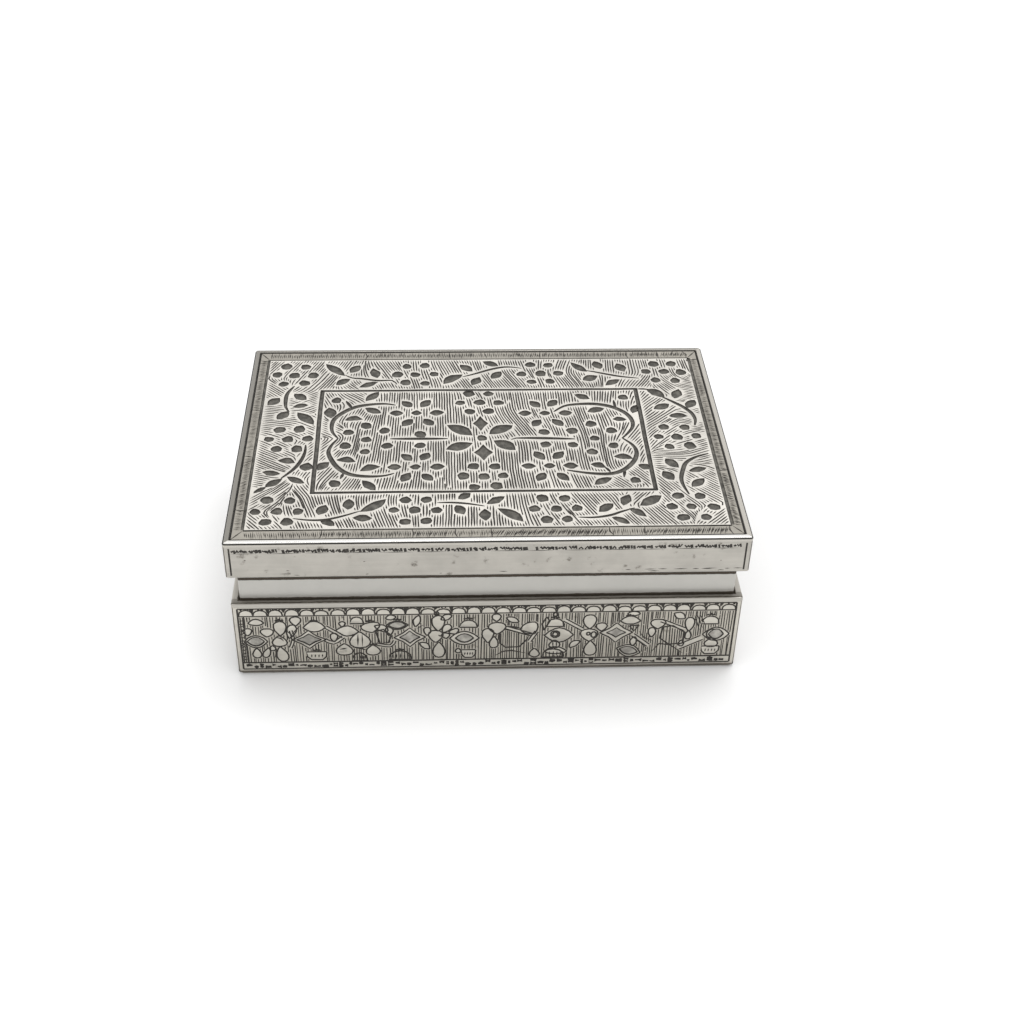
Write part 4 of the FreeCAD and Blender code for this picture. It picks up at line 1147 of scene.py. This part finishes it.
    # Dark strokes, each with its width
    MARKS = [
        (0.9, [(5.7, 19.0), (8.2, 18.5), (10.7, 17.7)]), (0.8, [(11.9, 20.4), (13.5, 20.6)]),
        (0.8, [(-42.8, 11), (-40.5, 10.6), (-38.3, 9.6)]),
        (0.7, [(-66.9, 15.7), (-65.2, 15.3), (-64.3, 14)]),
        (0.65, [(-41.2, 11.6), (-41.0, 16.6)]), (0.45, [(-39.8, 11.4), (-39.7, 16.8)]),
        (0.7, [(-15.9, 15.6), (-14.7, 15)]), (0.6, [(-47, 10.2), (-44.6, 10.8)]),
        (0.55, [(2, 6.5), (4.6, 8.3), (7.5, 8.7), (12.5, 7.3)]),
        (0.6, [(52, 6.8), (54.5, 10.6), (58, 10.1), (62.5, 6.4)]), (0.5, [(20.5, 10), (20.4, 12.4)]),
        (0.5, [(21.7, 10), (21.6, 12.4)]), (0.6, [(-67.2, 12.2), (-66.8, 10), (-67.6, 7)]),
        (0.6, [(18.4, 15.2), (17, 15)]), (0.45, [(66.4, 23.2), (68.9, 17.6)]),
        (0.45, [(65.4, 23.4), (67.9, 17)]), (0.45, [(64.8, 22.4), (67, 16)]),
        (0.5, [(47.6, 16.2), (49.4, 13.4), (52.6, 11.6)]),
        (0.5, [(46.8, 12.4), (48.6, 11.2), (50.8, 8.4)]),
        (0.45, [(-62.6, 22.4), (-63, 18), (-60.8, 15.4)]),
        (0.45, [(-20.4, 20), (-22.6, 18.4)]), (0.45, [(-58.6, 20.6), (-62, 16.4)])]

    # Small rings as x, height, half width and half height
    RINGS = [
        (-16.3, 24.6, 0.7, 0.7), (20.9, 23.5, 0.7, 0.8), (21.1, 15.3, 1.45, 1.45), (21.1, 15.3, 0.85, 0.85),
        (31.6, 15.3, 0.6, 0.6), (33.3, 14.9, 0.8, 1.2), (71.6, 14.5, 2.3, 2.0)]

    def __init__(self, half_width, low, high, sizes, seed, shift, mirror):
        """shift is the place along the row that lies in the wall's middle; mirror is -1 to turn it over."""
        half_height = (high - low) / 2
        super().__init__(Engraving(half_width, half_height, sizes, self.STIPPLE_DEPTH), seed)
        self.stencil = Stencil(half_width, half_height)
        self.middle = (low + high) / 2
        self.shift = shift
        self.mirror = mirror
        self.line = sizes.line_width / MM
        self.end = half_width - self.END_MARGIN

    def at(self, points):
        """Points given by their height above the floor, as points on the face."""
        return [(x, z - self.middle) for x, z in points]

    def placed(self, points, hand=0.0):
        """Points of the row as they lie on this wall, or nothing where they run past its ends."""
        moved = [(self.mirror * (x - self.shift), z) for x, z in points]
        if max(abs(x) for x, _ in moved) > self.end - self.END_ROOM:
            return []
        return [(x + self.wobble(hand), z + self.wobble(hand)) for x, z in moved]

    def cut(self, points, width=None, blunt=False):
        self.engraving.groove(self.at(points), width or self.line, blunt)

    def ring(self, outline, width=None):
        """An outline cut in two halves that meet."""
        half = len(outline) // 2
        self.cut(outline[:half + 1], width, blunt=True)
        self.cut(outline[half:] + outline[:1], width, blunt=True)

    def bare(self, outline):
        self.engraving.loop(self.at(outline), 0.0, BARE)
        self.stencil.cover(self.at(outline), self.HALO)

    def shape(self, outline, inner=None):
        """A bare shape with a dark outline, and a stippled part where inner is given."""
        outline = self.placed(outline, 0.07)
        if not outline:
            return
        self.bare(outline)
        self.ring(outline)
        if inner:
            inner = self.placed(inner)
            self.ring(inner, self.line * self.INNER_LINE)
            self.engraving.pocket(self.at(inner), self.at(shrunk(inner, 0.86)))

    def mark(self, points, width):
        points = self.placed(points, 0.05)
        if points:
            self.cut(points, width)

    def pen(self, outline):
        """A dark outline round a part that stays hatched."""
        outline = self.placed(outline, 0.08)
        if outline:
            self.ring(outline, self.line * self.PEN_LINE)

    def teeth(self, x, z):
        """Three dark teeth side by side."""
        for place, rise in ((x - 0.9, 0.8), (x, 1.2), (x + 0.9, 0.8)):
            self.mark([(place - 0.35, z), (place, z + rise)], self.line * 1.5)
            self.mark([(place + 0.35, z), (place, z + rise)], self.line * 1.2)

    def ticks(self, x, z, count, pitch, height):
        """A few short upright cuts side by side."""
        for i in range(count):
            place = x + (i - (count - 1) / 2) * pitch
            self.mark([(place, z), (place + 0.1, z + height)], self.line * self.INNER_LINE)

    def strap(self, width, points):
        """A light strap with a dark line along each edge."""
        path = self.placed(smooth_path(points, 1.6))
        if not path:
            return
        outline = path_outline(path, [width] * len(path))
        self.bare(outline)
        for edge in (outline[:len(path)], outline[len(path):]):
            self.cut(edge, self.line * self.INNER_LINE, blunt=True)

    def flowers(self):
        """Petals, leaves, eyes and lozenges along the row."""
        for x, z, half_width, half_height, turn in self.PETALS:
            tip = -1 if z > self.middle else 1
            self.shape(petal_outline(x, z, half_width * 1.06, half_height * 1.08, turn, tip))
        for leaf in self.LEAVES:
            self.shape(leaf_outline(*leaf))
        for x, z, turn, lengths, widths in self.EYES:
            outer, inner = (leaf_outline(x, z, turn, *size) for size in zip(lengths, widths))
            self.shape(outer, inner)
        for x, z, half_widths, half_heights in self.LOZENGES:
            outer, inner = (lozenge_outline(x, z, *size) for size in zip(half_widths, half_heights))
            self.shape(outer, inner)
        for ring in self.RINGS:
            self.pen(oval_outline(*ring))

    def vessels(self):
        """Bells above the flowers, pots and mounds below them."""
        for bell in self.BELLS:
            self.shape(dome_outline(*bell))
        for x, z, half_width, rise in self.POTS:
            self.shape(pot_outline(x, z, half_width, rise))
            self.ticks(x, z + rise * 0.3, 4, half_width * 0.36, rise * 0.4)
        for x, z, half_width, rise in self.MOUNDS:
            self.pen(dome_outline(x, z, half_width, rise))
            self.ticks(x, z + 0.4, 5, half_width * 0.34, rise * 0.6)

    def strokes(self):
        """Straps, hatched outlines and dark strokes."""
        for width, points in self.STRAPS:
            self.strap(width, points)
        for outline in self.PENS:
            self.pen(outline)
        for width, points in self.MARKS:
            self.mark(points, width)
        for x, z in self.TEETH:
            self.teeth(x, z)

    def scallops(self):
        """Bare half rounds under the top line, with dark wedges between their shoulders."""
        count = int(2 * self.end / self.SCALLOP_PITCH)
        pitch = 2 * self.end / count
        rise = self.TOP_LINE - self.SCALLOP_FOOT
        for i in range(count):
            x = -self.end + (i + 0.5) * pitch + self.wobble(0.25)
            height = rise * self.hand.uniform(*self.DOME_RISE)
            dome = dome_outline(x, self.SCALLOP_FOOT + 0.1, pitch * 0.47, height)
            self.engraving.loop(self.at(dome), 0.0, BARE)
            self.cut(dome, blunt=True)
            if i:
                self.wedge(x - pitch / 2 + self.wobble(0.2), rise)
            for side in (-0.3, -0.1, 0.12, 0.32):
                if self.hand.random() < 0.5:
                    place = x + side * pitch + self.wobble(0.2)
                    self.dab(place, self.TOP_LINE - 0.35, self.hand.uniform(0.4, 0.8), 0.6)

    def wedge(self, x, rise):
        """A dark wedge that hangs from the top line."""
        top = self.TOP_LINE - 0.15
        depth = rise * self.hand.uniform(*self.WEDGE_RISE)
        lean = self.wobble(0.4)
        path = self.at([(x, top), (x + lean / 2, top - depth / 2), (x + lean, top - depth)])
        self.engraving.line(path, [self.hand.uniform(*self.WEDGE_WIDTH), 0.9, 0.2])

    def dab(self, x, z, width, height):
        """A short blunt touch of the graver."""
        lean = self.wobble(0.25)
        self.cut([(x - lean, z - height / 2), (x + lean, z + height / 2)], width, blunt=True)

    def foot_band(self):
        """Irregular dark dashes along the foot, in one row or two."""
        height = (self.FIELD_FOOT + self.FOOT_LINE) / 2
        x = -self.end + 1.0
        while x < self.end - 3.2:
            length = self.hand.uniform(*self.DASH_LENGTH)
            for side in self.hand.choice(((0.35,), (-0.45,), (0.45, -0.5), (0.0,))):
                z = height + side + self.wobble(0.15)
                path = [(x, z), (x + length / 2, z + self.wobble(0.15) * length), (x + length, z)]
                widths = [self.hand.uniform(*self.DASH_WIDTH) for _ in path]
                self.engraving.line(self.at(path), widths)
            x += length + self.hand.uniform(*self.DASH_GAP)

    def lines(self):
        """The lines that bound the frieze, and a column of cross strokes at one end."""
        end = self.end
        low, high = self.FIELD_FOOT, self.SCALLOP_FOOT
        field = [(-end, low), (end, low), (end, self.TOP_LINE), (-end, self.TOP_LINE)]
        self.engraving.loop(self.at(field), 0.0, FIELD)
        for z, width in ((self.TOP_LINE, 0.5), (high - 0.1, 0.45), (low, 0.62), (self.FOOT_LINE, 0.5)):
            middle = [(x, z + self.wobble(0.1)) for x in (-end / 2, 0, end / 2)]
            self.cut([(-end, z), *middle, (end, z)], width, blunt=True)
        for x in (-end, end):
            self.cut([(x, self.FOOT_LINE), (x, self.TOP_LINE)], 0.6, blunt=True)
        edge = -end * self.mirror
        column = -(end - self.END_COLUMN) * self.mirror
        self.cut([(column, low), (column, high)], 0.4, blunt=True)
        z = low + 1.2
        while z < high - 1.4:
            self.cut([(edge, z), (column, z + self.wobble(0.7) + 0.4)], 0.45)
            z += self.hand.uniform(0.9, 1.5)

    def hatch(self):
        """Upright strokes over the field, broken wherever a shape stands."""
        x = -self.end + 0.6
        while x < self.end - 0.5:
            self.hatch_line(x)
            x += self.HATCH_PITCH * self.hand.uniform(0.7, 1.3)

    def hatch_line(self, x):
        """One upright stroke from the foot to the scallops, in as many runs as the shapes leave."""
        run = []
        z = self.FIELD_FOOT + 0.3
        top = self.SCALLOP_FOOT - 0.3
        lean = self.wobble(0.025)
        while z < top:
            place = x + lean * (z - self.middle)
            open_here = self.stencil.free(place, z - self.middle)
            if open_here:
                run.append((place, z))
            if run and (not open_here or z + self.HATCH_STEP >= top or self.hand.random() < 0.004):
                if len(run) > 3:
                    width = self.line * self.hand.uniform(*self.HATCH_LINE)
                    self.cut([run[0], run[len(run) // 2], run[-1]], width, blunt=True)
                run = []
            z += self.HATCH_STEP

    def draw(self):
        self.lines()
        self.scallops()
        self.foot_band()
        self.flowers()
        self.vessels()
        self.strokes()
        self.hatch()
        return self.engraving.sheet()


class SkirtDrawing(Drawing):
    """The drawing of a lid skirt: a fine worked band, lines at the ends and a few knocks."""

    # Distances below the skirt's top
    BAND_TOP = 0.5
    BAND_FOOT = 2.45
    ROW = 1.6
    END_MARGIN = 1.0

    def __init__(self, half_width, low, high, sizes, seed):
        super().__init__(Engraving(half_width, (high - low) / 2, sizes), seed)
        self.half_width = half_width
        self.foot = high - low
        self.end = half_width - self.END_MARGIN

    def cut(self, points, width, blunt=False):
        """A cut given by the distance below the skirt's top."""
        face = [(x, self.foot / 2 - fall) for x, fall in points]
        self.engraving.groove(face, width, blunt)

    def worked_band(self):
        """Small curls and upright nicks close together in one uneven row."""
        x = -self.end + 0.6
        while x < self.end - 1.8:
            fall = self.ROW + self.wobble(0.2)
            length = self.hand.uniform(0.5, 1.5)
            bow = self.hand.choice((-1, 1)) * self.hand.uniform(0.2, 0.7)
            curl = [(x, fall + bow), (x + length / 2, fall - bow / 2), (x + length, fall + bow)]
            nick = [(x, fall - 0.65), (x + 0.25, fall + 0.65)]
            self.cut(curl if self.hand.random() < 0.6 else nick, self.hand.uniform(0.5, 0.9), blunt=True)
            x += self.hand.uniform(0.65, 1.2)

    def lines(self):
        """A faint broken line under the band, one near the foot and an upright line at each end."""
        steps = 14
        places = [-self.end + 2 * self.end * i / steps for i in range(steps + 1)]
        for start, stop in zip(places, places[1:]):
            fall = self.BAND_FOOT + self.wobble(0.06)
            self.cut([(start + 0.4, fall), (stop - self.hand.uniform(0.1, 4.0), fall)], 0.24)
        for x in (-self.end, self.end):
            self.cut([(x, self.BAND_TOP), (x, self.foot - 0.5)], 0.55, blunt=True)
        x = self.half_width * 0.6
        while x < self.end - 3:
            length = self.hand.uniform(1.5, 4.5)
            fall = self.foot - 1.1 + self.wobble(0.1)
            self.cut([(x, fall), (min(x + length, self.end - 0.5), fall)], 0.3)
            x += length + self.hand.uniform(0.5, 2.5)

    def knocks(self):
        """A few dents and scratches on the plain part and near the foot."""
        foot = self.foot
        for _ in range(int(self.half_width / 6)):
            x = self.hand.uniform(-self.half_width + 4, self.half_width - 8)
            fall = self.hand.choice((foot - 0.5, foot - 1.0, self.hand.uniform(4.5, foot - 1.5)))
            length = self.hand.uniform(*((0.4, 1.2) if fall < foot - 1.2 else (0.8, 4.0)))
            scratch = [(x, fall), (x + length, fall + self.wobble(0.12))]
            self.cut(scratch, self.hand.uniform(0.16, 0.3))

    def draw(self):
        self.lines()
        self.worked_band()
        self.knocks()
        return self.engraving.sheet()


def select_only(obj):
    bpy.ops.object.select_all(action="DESELECT")
    obj.select_set(True)
    bpy.context.view_layer.objects.active = obj


def select_where(obj, kind, test):
    """In edit mode, selects the edges or faces whose middle and normal or run pass the test."""
    bpy.ops.mesh.select_all(action="DESELECT")
    bpy.ops.object.mode_set(mode="OBJECT")
    mesh = obj.data
    if kind == "FACE":
        for face in mesh.polygons:
            face.select = test(face.center, face.normal)
    else:
        for edge in mesh.edges:
            start, stop = (mesh.vertices[i].co for i in edge.vertices)
            edge.select = test((start + stop) / 2, stop - start)
    bpy.ops.object.mode_set(mode="EDIT")


def block(name, low, high):
    """A block between two corners, left in edit mode with edge selection."""
    bpy.ops.object.select_all(action="DESELECT")
    bpy.ops.mesh.primitive_cube_add(size=1, location=(low + high) / 2)
    obj = bpy.context.object
    obj.name = name
    obj.scale = high - low
    bpy.ops.object.transform_apply(location=True, rotation=True, scale=True)
    bpy.ops.object.mode_set(mode="EDIT")
    bpy.ops.mesh.select_mode(type="EDGE")
    return obj


def open_face(obj, normal):
    """Takes away the flat face that looks along the normal and gives back its corners."""
    faces = [f for f in obj.data.polygons if f.normal.dot(normal) > 0.999]
    face = max(faces, key=lambda f: f.area)
    corners = [obj.data.vertices[i].co.copy() for i in face.vertices]
    chosen = face.center.copy()
    select_only(obj)
    bpy.ops.object.mode_set(mode="EDIT")
    bpy.ops.mesh.select_mode(type="FACE")
    select_where(obj, "FACE", lambda middle, _: (middle - chosen).length < SAME_PLACE)
    bpy.ops.mesh.delete(type="FACE")
    bpy.ops.object.mode_set(mode="OBJECT")
    low = Vector(map(min, *corners))
    high = Vector(map(max, *corners))
    return low, high


def mitred_sheet(name, low, high, rounding):
    """A sheet on the front side, mitred at both ends, with its foot and upright edges rounded."""
    def rounded(middle, run):
        upright = abs(run.z) > SAME_PLACE
        return middle.y < low.y + SAME_PLACE and (upright or middle.z < low.z + SAME_PLACE)

    obj = block(name, low, high)
    select_where(obj, "EDGE", rounded)
    bpy.ops.mesh.bevel(offset=rounding, segments=5, affect="EDGES")
    for corner, normal in ((low, (-1, 1, 0)), (Vector((high.x, low.y, low.z)), (1, 1, 0))):
        bpy.ops.mesh.select_all(action="SELECT")
        bpy.ops.mesh.bisect(plane_co=corner, plane_no=normal, use_fill=True, clear_outer=True,
                            threshold=1e-7)
    bpy.ops.object.mode_set(mode="OBJECT")
    return obj


def add_finishes(obj, materials):
    for material in materials:
        obj.data.materials.append(material)


def add_engraved_face(obj, drawn, origin, across, up, materials):
    """Joins a drawn sheet to an opened blank: across and up are the face's axes."""
    vertices, triangles, finishes = drawn
    out = across.cross(up)
    mesh = bpy.data.meshes.new(obj.name + "_engraving")
    places = [origin + (across * u + up * v + out * w) * MM for u, v, w in vertices]
    mesh.from_pydata(places, [], triangles)
    mesh.polygons.foreach_set("material_index", finishes)
    face = bpy.data.objects.new(mesh.name, mesh)
    bpy.context.collection.objects.link(face)
    add_finishes(face, materials)
    add_finishes(obj, materials)
    select_only(obj)
    face.select_set(True)
    bpy.ops.object.join()
    bpy.ops.object.mode_set(mode="EDIT")
    bpy.ops.mesh.select_all(action="SELECT")
    bpy.ops.mesh.remove_doubles(threshold=WELD)
    bpy.ops.object.mode_set(mode="OBJECT")
    bpy.ops.object.shade_smooth_by_angle(angle=SMOOTH)


def turn_to_side(obj, degrees):
    """Turns a front piece to another side of the box, in its mesh."""
    select_only(obj)
    obj.rotation_euler.z = math.radians(degrees)
    bpy.ops.object.transform_apply(location=True, rotation=True, scale=True)


def front_box(node, turn):
    """The corners of a node as they would be if its side were turned to the front."""
    low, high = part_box(node)
    back = Matrix.Rotation(math.radians(-turn), 3, "Z")
    ends = [back @ low, back @ high]
    return Vector(map(min, *ends)), Vector(map(max, *ends))


def engraved_side(name, node, turn, rounding, drawing, materials):
    """A mitred sheet in a node's place with a drawing cut into its outer face.

    drawing takes half the face's width and the heights of its foot and top, in millimetres.
    """
    low, high = front_box(node, turn)
    obj = mitred_sheet(name, low, high, rounding)
    low, high = open_face(obj, Vector((0, -1, 0)))
    drawn = drawing((high.x - low.x) / 2 / MM, low.z / MM, high.z / MM).draw()
    add_engraved_face(obj, drawn, (low + high) / 2, Vector((1, 0, 0)), Vector((0, 0, 1)), materials)
    turn_to_side(obj, turn)
    return obj


class SILVERBOX_OT_lid_top(bpy.types.Operator):
    """Engraves the top plate of the lid."""

    bl_idname = "silverbox.lid_top"
    bl_label = "Engraved lid top"

    def execute(self, context):
        sizes = context.scene.silverbox_sizes
        colours = context.scene.silverbox_colours
        low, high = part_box("lid_top")
        obj = block("engraved_lid_top", low, high)
        bpy.ops.object.mode_set(mode="OBJECT")
        open_face(obj, Vector((0, 0, 1)))
        origin = Vector(((low.x + high.x) / 2, (low.y + high.y) / 2, high.z))
        drawing = LidDrawing((high.x - low.x) / 2 / MM, (high.y - low.y) / 2 / MM, sizes)
        # The lid's lighter silver is partly painted light for the bright sky that the top mirrors
        bare = worn_silver("lid_silver", tuple(colours.lid), 0.22, 1.0, 0.2, 0.09 * MM)
        materials = [
            bare, worn_silver("lid_band", tuple(colours.band), 0.34, 1.0, 0.5), bare,
            oxidised_silver("lid_cut", shade(tuple(colours.cut), 1.4), 0.55, 0.6, 0.25),
            oxidised_silver("lid_recess", tuple(colours.recess), 0.5, 0.7, 0.45),
            oxidised_silver("lid_seam", shade(tuple(colours.cut), 0.7), 0.6, 0.3, 0.3)]
        add_engraved_face(obj, drawing.draw(), origin, Vector((1, 0, 0)), Vector((0, 1, 0)), materials)
        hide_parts("lid_top")
        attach(obj, "lid")
        return {"FINISHED"}


class SILVERBOX_OT_case_walls(bpy.types.Operator):
    """Engraves the frieze on the four walls of the case."""

    bl_idname = "silverbox.case_walls"
    bl_label = "Engraved case walls"

    ROUNDING = 0.8 * MM

    # Where each wall starts in the row of motifs, and which way it runs
    ROWS = {"front": (0.0, 1), "right": (21.5, 1), "back": (0.0, -1), "left": (-21.5, 1)}

    def execute(self, context):
        sizes = context.scene.silverbox_sizes
        colours = context.scene.silverbox_colours
        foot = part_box("case_front")[0].z
        # The walls' silver gets painted shade along its foot
        bare = worn_silver("wall_silver", tuple(colours.wall), 0.28, 0.6, 0.4, foot=foot)
        materials = [
            bare, worn_silver("wall_field", tuple(colours.field), 0.4, 1.0, 0.6), bare,
            oxidised_silver("wall_cut", tuple(colours.cut), 0.6, 0.5, 0.3),
            oxidised_silver("wall_stipple", tuple(colours.stipple), 0.45, 0.8, 0.3)]
        for count, (side, turn) in enumerate(SIDES.items()):
            self.wall(side, turn, sizes, materials, sizes.seed + count)
        return {"FINISHED"}

    def wall(self, side, turn, sizes, materials, seed):
        def drawing(*face):
            return FriezeDrawing(*face, sizes, seed, *self.ROWS[side])

        name = "engraved_wall_" + side
        obj = engraved_side(name, "case_" + side, turn, self.ROUNDING, drawing, materials)
        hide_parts("case_" + side)
        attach(obj, "case")


class SILVERBOX_OT_skirts(bpy.types.Operator):
    """Cuts the worked band and end lines on the four skirts of the lid."""

    bl_idname = "silverbox.skirts"
    bl_label = "Lid skirts"

    ROUNDING = 0.6 * MM

    # Keeps the skirts' hand apart from the walls'
    SEED_STEP = 20

    def execute(self, context):
        sizes = context.scene.silverbox_sizes
        colours = context.scene.silverbox_colours
        bare = worn_silver("skirt_silver", tuple(colours.plain), 0.24, 0.5, 0.7)
        cut = oxidised_silver("skirt_cut", tuple(colours.cut), 0.6, 0.5, 0.3)
        materials = [bare, bare, bare, cut, cut]
        for count, (side, turn) in enumerate(SIDES.items()):
            self.skirt(side, turn, sizes, materials, sizes.seed + self.SEED_STEP + count)
        return {"FINISHED"}

    def skirt(self, side, turn, sizes, materials, seed):
        def drawing(*face):
            return SkirtDrawing(*face, sizes, seed)

        name = "worked_skirt_" + side
        obj = engraved_side(name, "skirt_" + side, turn, self.ROUNDING, drawing, materials)
        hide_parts("skirt_" + side)
        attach(obj, "lid")


class SILVERBOX_OT_plain_pieces(bpy.types.Operator):
    """Finishes the neck, rim, edge wire, liner and base, which keep their own shapes."""

    bl_idname = "silverbox.plain_pieces"
    bl_label = "Plain silver pieces"

    def execute(self, context):
        colours = context.scene.silverbox_colours
        tarnish_and_shade = tuple(colours.tarnish_and_shade)
        plain = tuple(colours.plain)
        # Painted shade: the back and left wires take a darker copy of the plain silver
        shaded_plain = shade(plain, 0.62)
        finishes = {
            "neck": tarnished_silver("neck_silver", tuple(colours.neck), tarnish_and_shade, 0.3, neck_dirt_and_shadow, 0.5),
            "rim": tarnished_silver("rim_silver", plain, tarnish_and_shade, 0.26, rim_dirt_and_shade),
            "edge_wire_back": stepped_silver("back_wire_shaded_silver", shaded_plain, shaded_plain),
            "edge_wire_left": stepped_silver("left_wire_shaded_silver", shaded_plain, shaded_plain),
            # Painted highlight on the tops of the right and front wires
            "edge_wire_right": stepped_silver("right_wire_highlit_silver", plain, shade(plain, 1.2)),
            "edge_wire_front": stepped_silver("front_wire_highlit_silver", shade(plain, 1.1), tuple(colours.bead_highlight)),
            "liner": worn_silver("liner_silver", shade(plain, 0.9), 0.34, 0.5, 0.3),
            "base_plate": worn_silver("base_silver", shade(plain, 0.8), 0.4, 0.6, 0.5)}
        for node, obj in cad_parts.items():
            for start, material in finishes.items():
                if node.startswith(start):
                    obj.data.materials.clear()
                    obj.data.materials.append(material)
        return {"FINISHED"}


class SILVERBOX_OT_stage(bpy.types.Operator):
    """Sets the floor, the light and the camera."""

    bl_idname = "silverbox.stage"
    bl_label = "Stage and camera"

    # Way to the sky that the lid mirrors, how near to it the light starts and is full, and way to the sun
    BACK = (0.0, 0.77, 0.64)
    BACK_SPREAD = (0.45, 0.95)
    SUN = (0.14, 0.24, 0.94)

    # Width of the floor in metres and of the camera's sensor in millimetres
    FLOOR_SIZE = 12
    SENSOR = 36

    def execute(self, context):
        stage = context.scene.silverbox_stage
        self.floor(stage)
        self.sky(context.scene, stage)
        self.lamp(stage)
        self.camera(context.scene, stage)
        context.scene.view_settings.view_transform = "Standard"
        return {"FINISHED"}

    def floor(self, stage):
        bpy.ops.object.select_all(action="DESELECT")
        bpy.ops.mesh.primitive_plane_add(size=self.FLOOR_SIZE, location=(0, 0, CAD_LOW.z))
        floor = bpy.context.object
        floor.name = "stage_floor"
        bpy.ops.object.transform_apply(location=True)
        material, shader = new_material("floor_paper")
        grain = shader.noise(700, 3)
        colour = shader.blend(grain, shade(tuple(stage.floor), 0.99), tuple(stage.floor))
        paper = shader.node("ShaderNodeBsdfDiffuse", inputs={"Color": colour})
        shader.node("ShaderNodeOutputMaterial", inputs={"Surface": paper})
        floor.data.materials.append(material)

    def sky(self, scene, stage):
        world = bpy.data.worlds.new("studio_sky")
        scene.world = world
        shader = Shader(world)
        way = shader.node("ShaderNodeTexCoord", output="Generated")
        facing = shader.node("ShaderNodeVectorMath", {"operation": "DOT_PRODUCT"},
                             {0: way, 1: self.BACK}, output="Value")
        depth = shader.node("ShaderNodeSeparateXYZ", inputs={"Vector": way}, output="Y")
        strength = stage.sky - stage.front_light * depth
        strength = strength + stage.back_light * shader.rise(facing, *self.BACK_SPREAD)
        white = (1.0, 1.0, 1.0, 1.0)
        light = shader.node("ShaderNodeBackground", inputs={"Color": white, "Strength": strength})
        shader.node("ShaderNodeOutputWorld", inputs={"Surface": light})

    def lamp(self, stage):
        bpy.ops.object.light_add(type="SUN")
        lamp = bpy.context.object
        lamp.name = "soft_sun"
        lamp.data.energy = stage.sun
        lamp.data.angle = stage.sun_angle
        lamp.rotation_euler = Vector(self.SUN).to_track_quat("Z", "Y").to_euler()

    def camera(self, scene, stage):
        pitch, yaw, roll = stage.camera_pitch, stage.camera_yaw, stage.camera_roll
        ahead = Vector((math.sin(yaw) * math.cos(pitch), math.cos(yaw) * math.cos(pitch),
                        -math.sin(pitch)))
        level = Vector((math.cos(yaw), -math.sin(yaw), 0))
        upright = level.cross(ahead)
        right = math.cos(roll) * level + math.sin(roll) * upright
        up = math.cos(roll) * upright - math.sin(roll) * level
        bpy.ops.object.camera_add()
        camera = bpy.context.object
        camera.name = "photo_camera"
        axes = Matrix((right, up, -ahead)).transposed().to_4x4()
        camera.matrix_world = Matrix.Translation(stage.camera_place) @ axes
        camera.data.sensor_width = self.SENSOR
        camera.data.lens = stage.lens
        camera.data.clip_start = 0.01
        scene.camera = camera


class SILVERBOX_PT_sidebar(bpy.types.Panel):
    """Lists the steps that dress the box."""

    bl_label = "Silver box"
    bl_space_type = "VIEW_3D"
    bl_region_type = "UI"
    bl_category = "Silver box"

    def draw(self, context):
        for step in STEPS:
            self.layout.operator(step.bl_idname)


STEPS = (SILVERBOX_OT_lid_top, SILVERBOX_OT_case_walls, SILVERBOX_OT_skirts,
         SILVERBOX_OT_plain_pieces, SILVERBOX_OT_stage)
CLASSES = (EngravingSizes, SilverColours, StageSettings, *STEPS, SILVERBOX_PT_sidebar)


def register():
    for cls in CLASSES:
        bpy.utils.register_class(cls)
    bpy.types.Scene.silverbox_sizes = PointerProperty(type=EngravingSizes)
    bpy.types.Scene.silverbox_colours = PointerProperty(type=SilverColours)
    bpy.types.Scene.silverbox_stage = PointerProperty(type=StageSettings)


def unregister():
    del bpy.types.Scene.silverbox_stage
    del bpy.types.Scene.silverbox_colours
    del bpy.types.Scene.silverbox_sizes
    for cls in reversed(CLASSES):
        bpy.utils.unregister_class(cls)


def main():
    register()
    bpy.ops.silverbox.lid_top()
    bpy.ops.silverbox.case_walls()
    bpy.ops.silverbox.skirts()
    bpy.ops.silverbox.plain_pieces()
    bpy.ops.silverbox.stage()


if __name__ == "__main__":
    main()
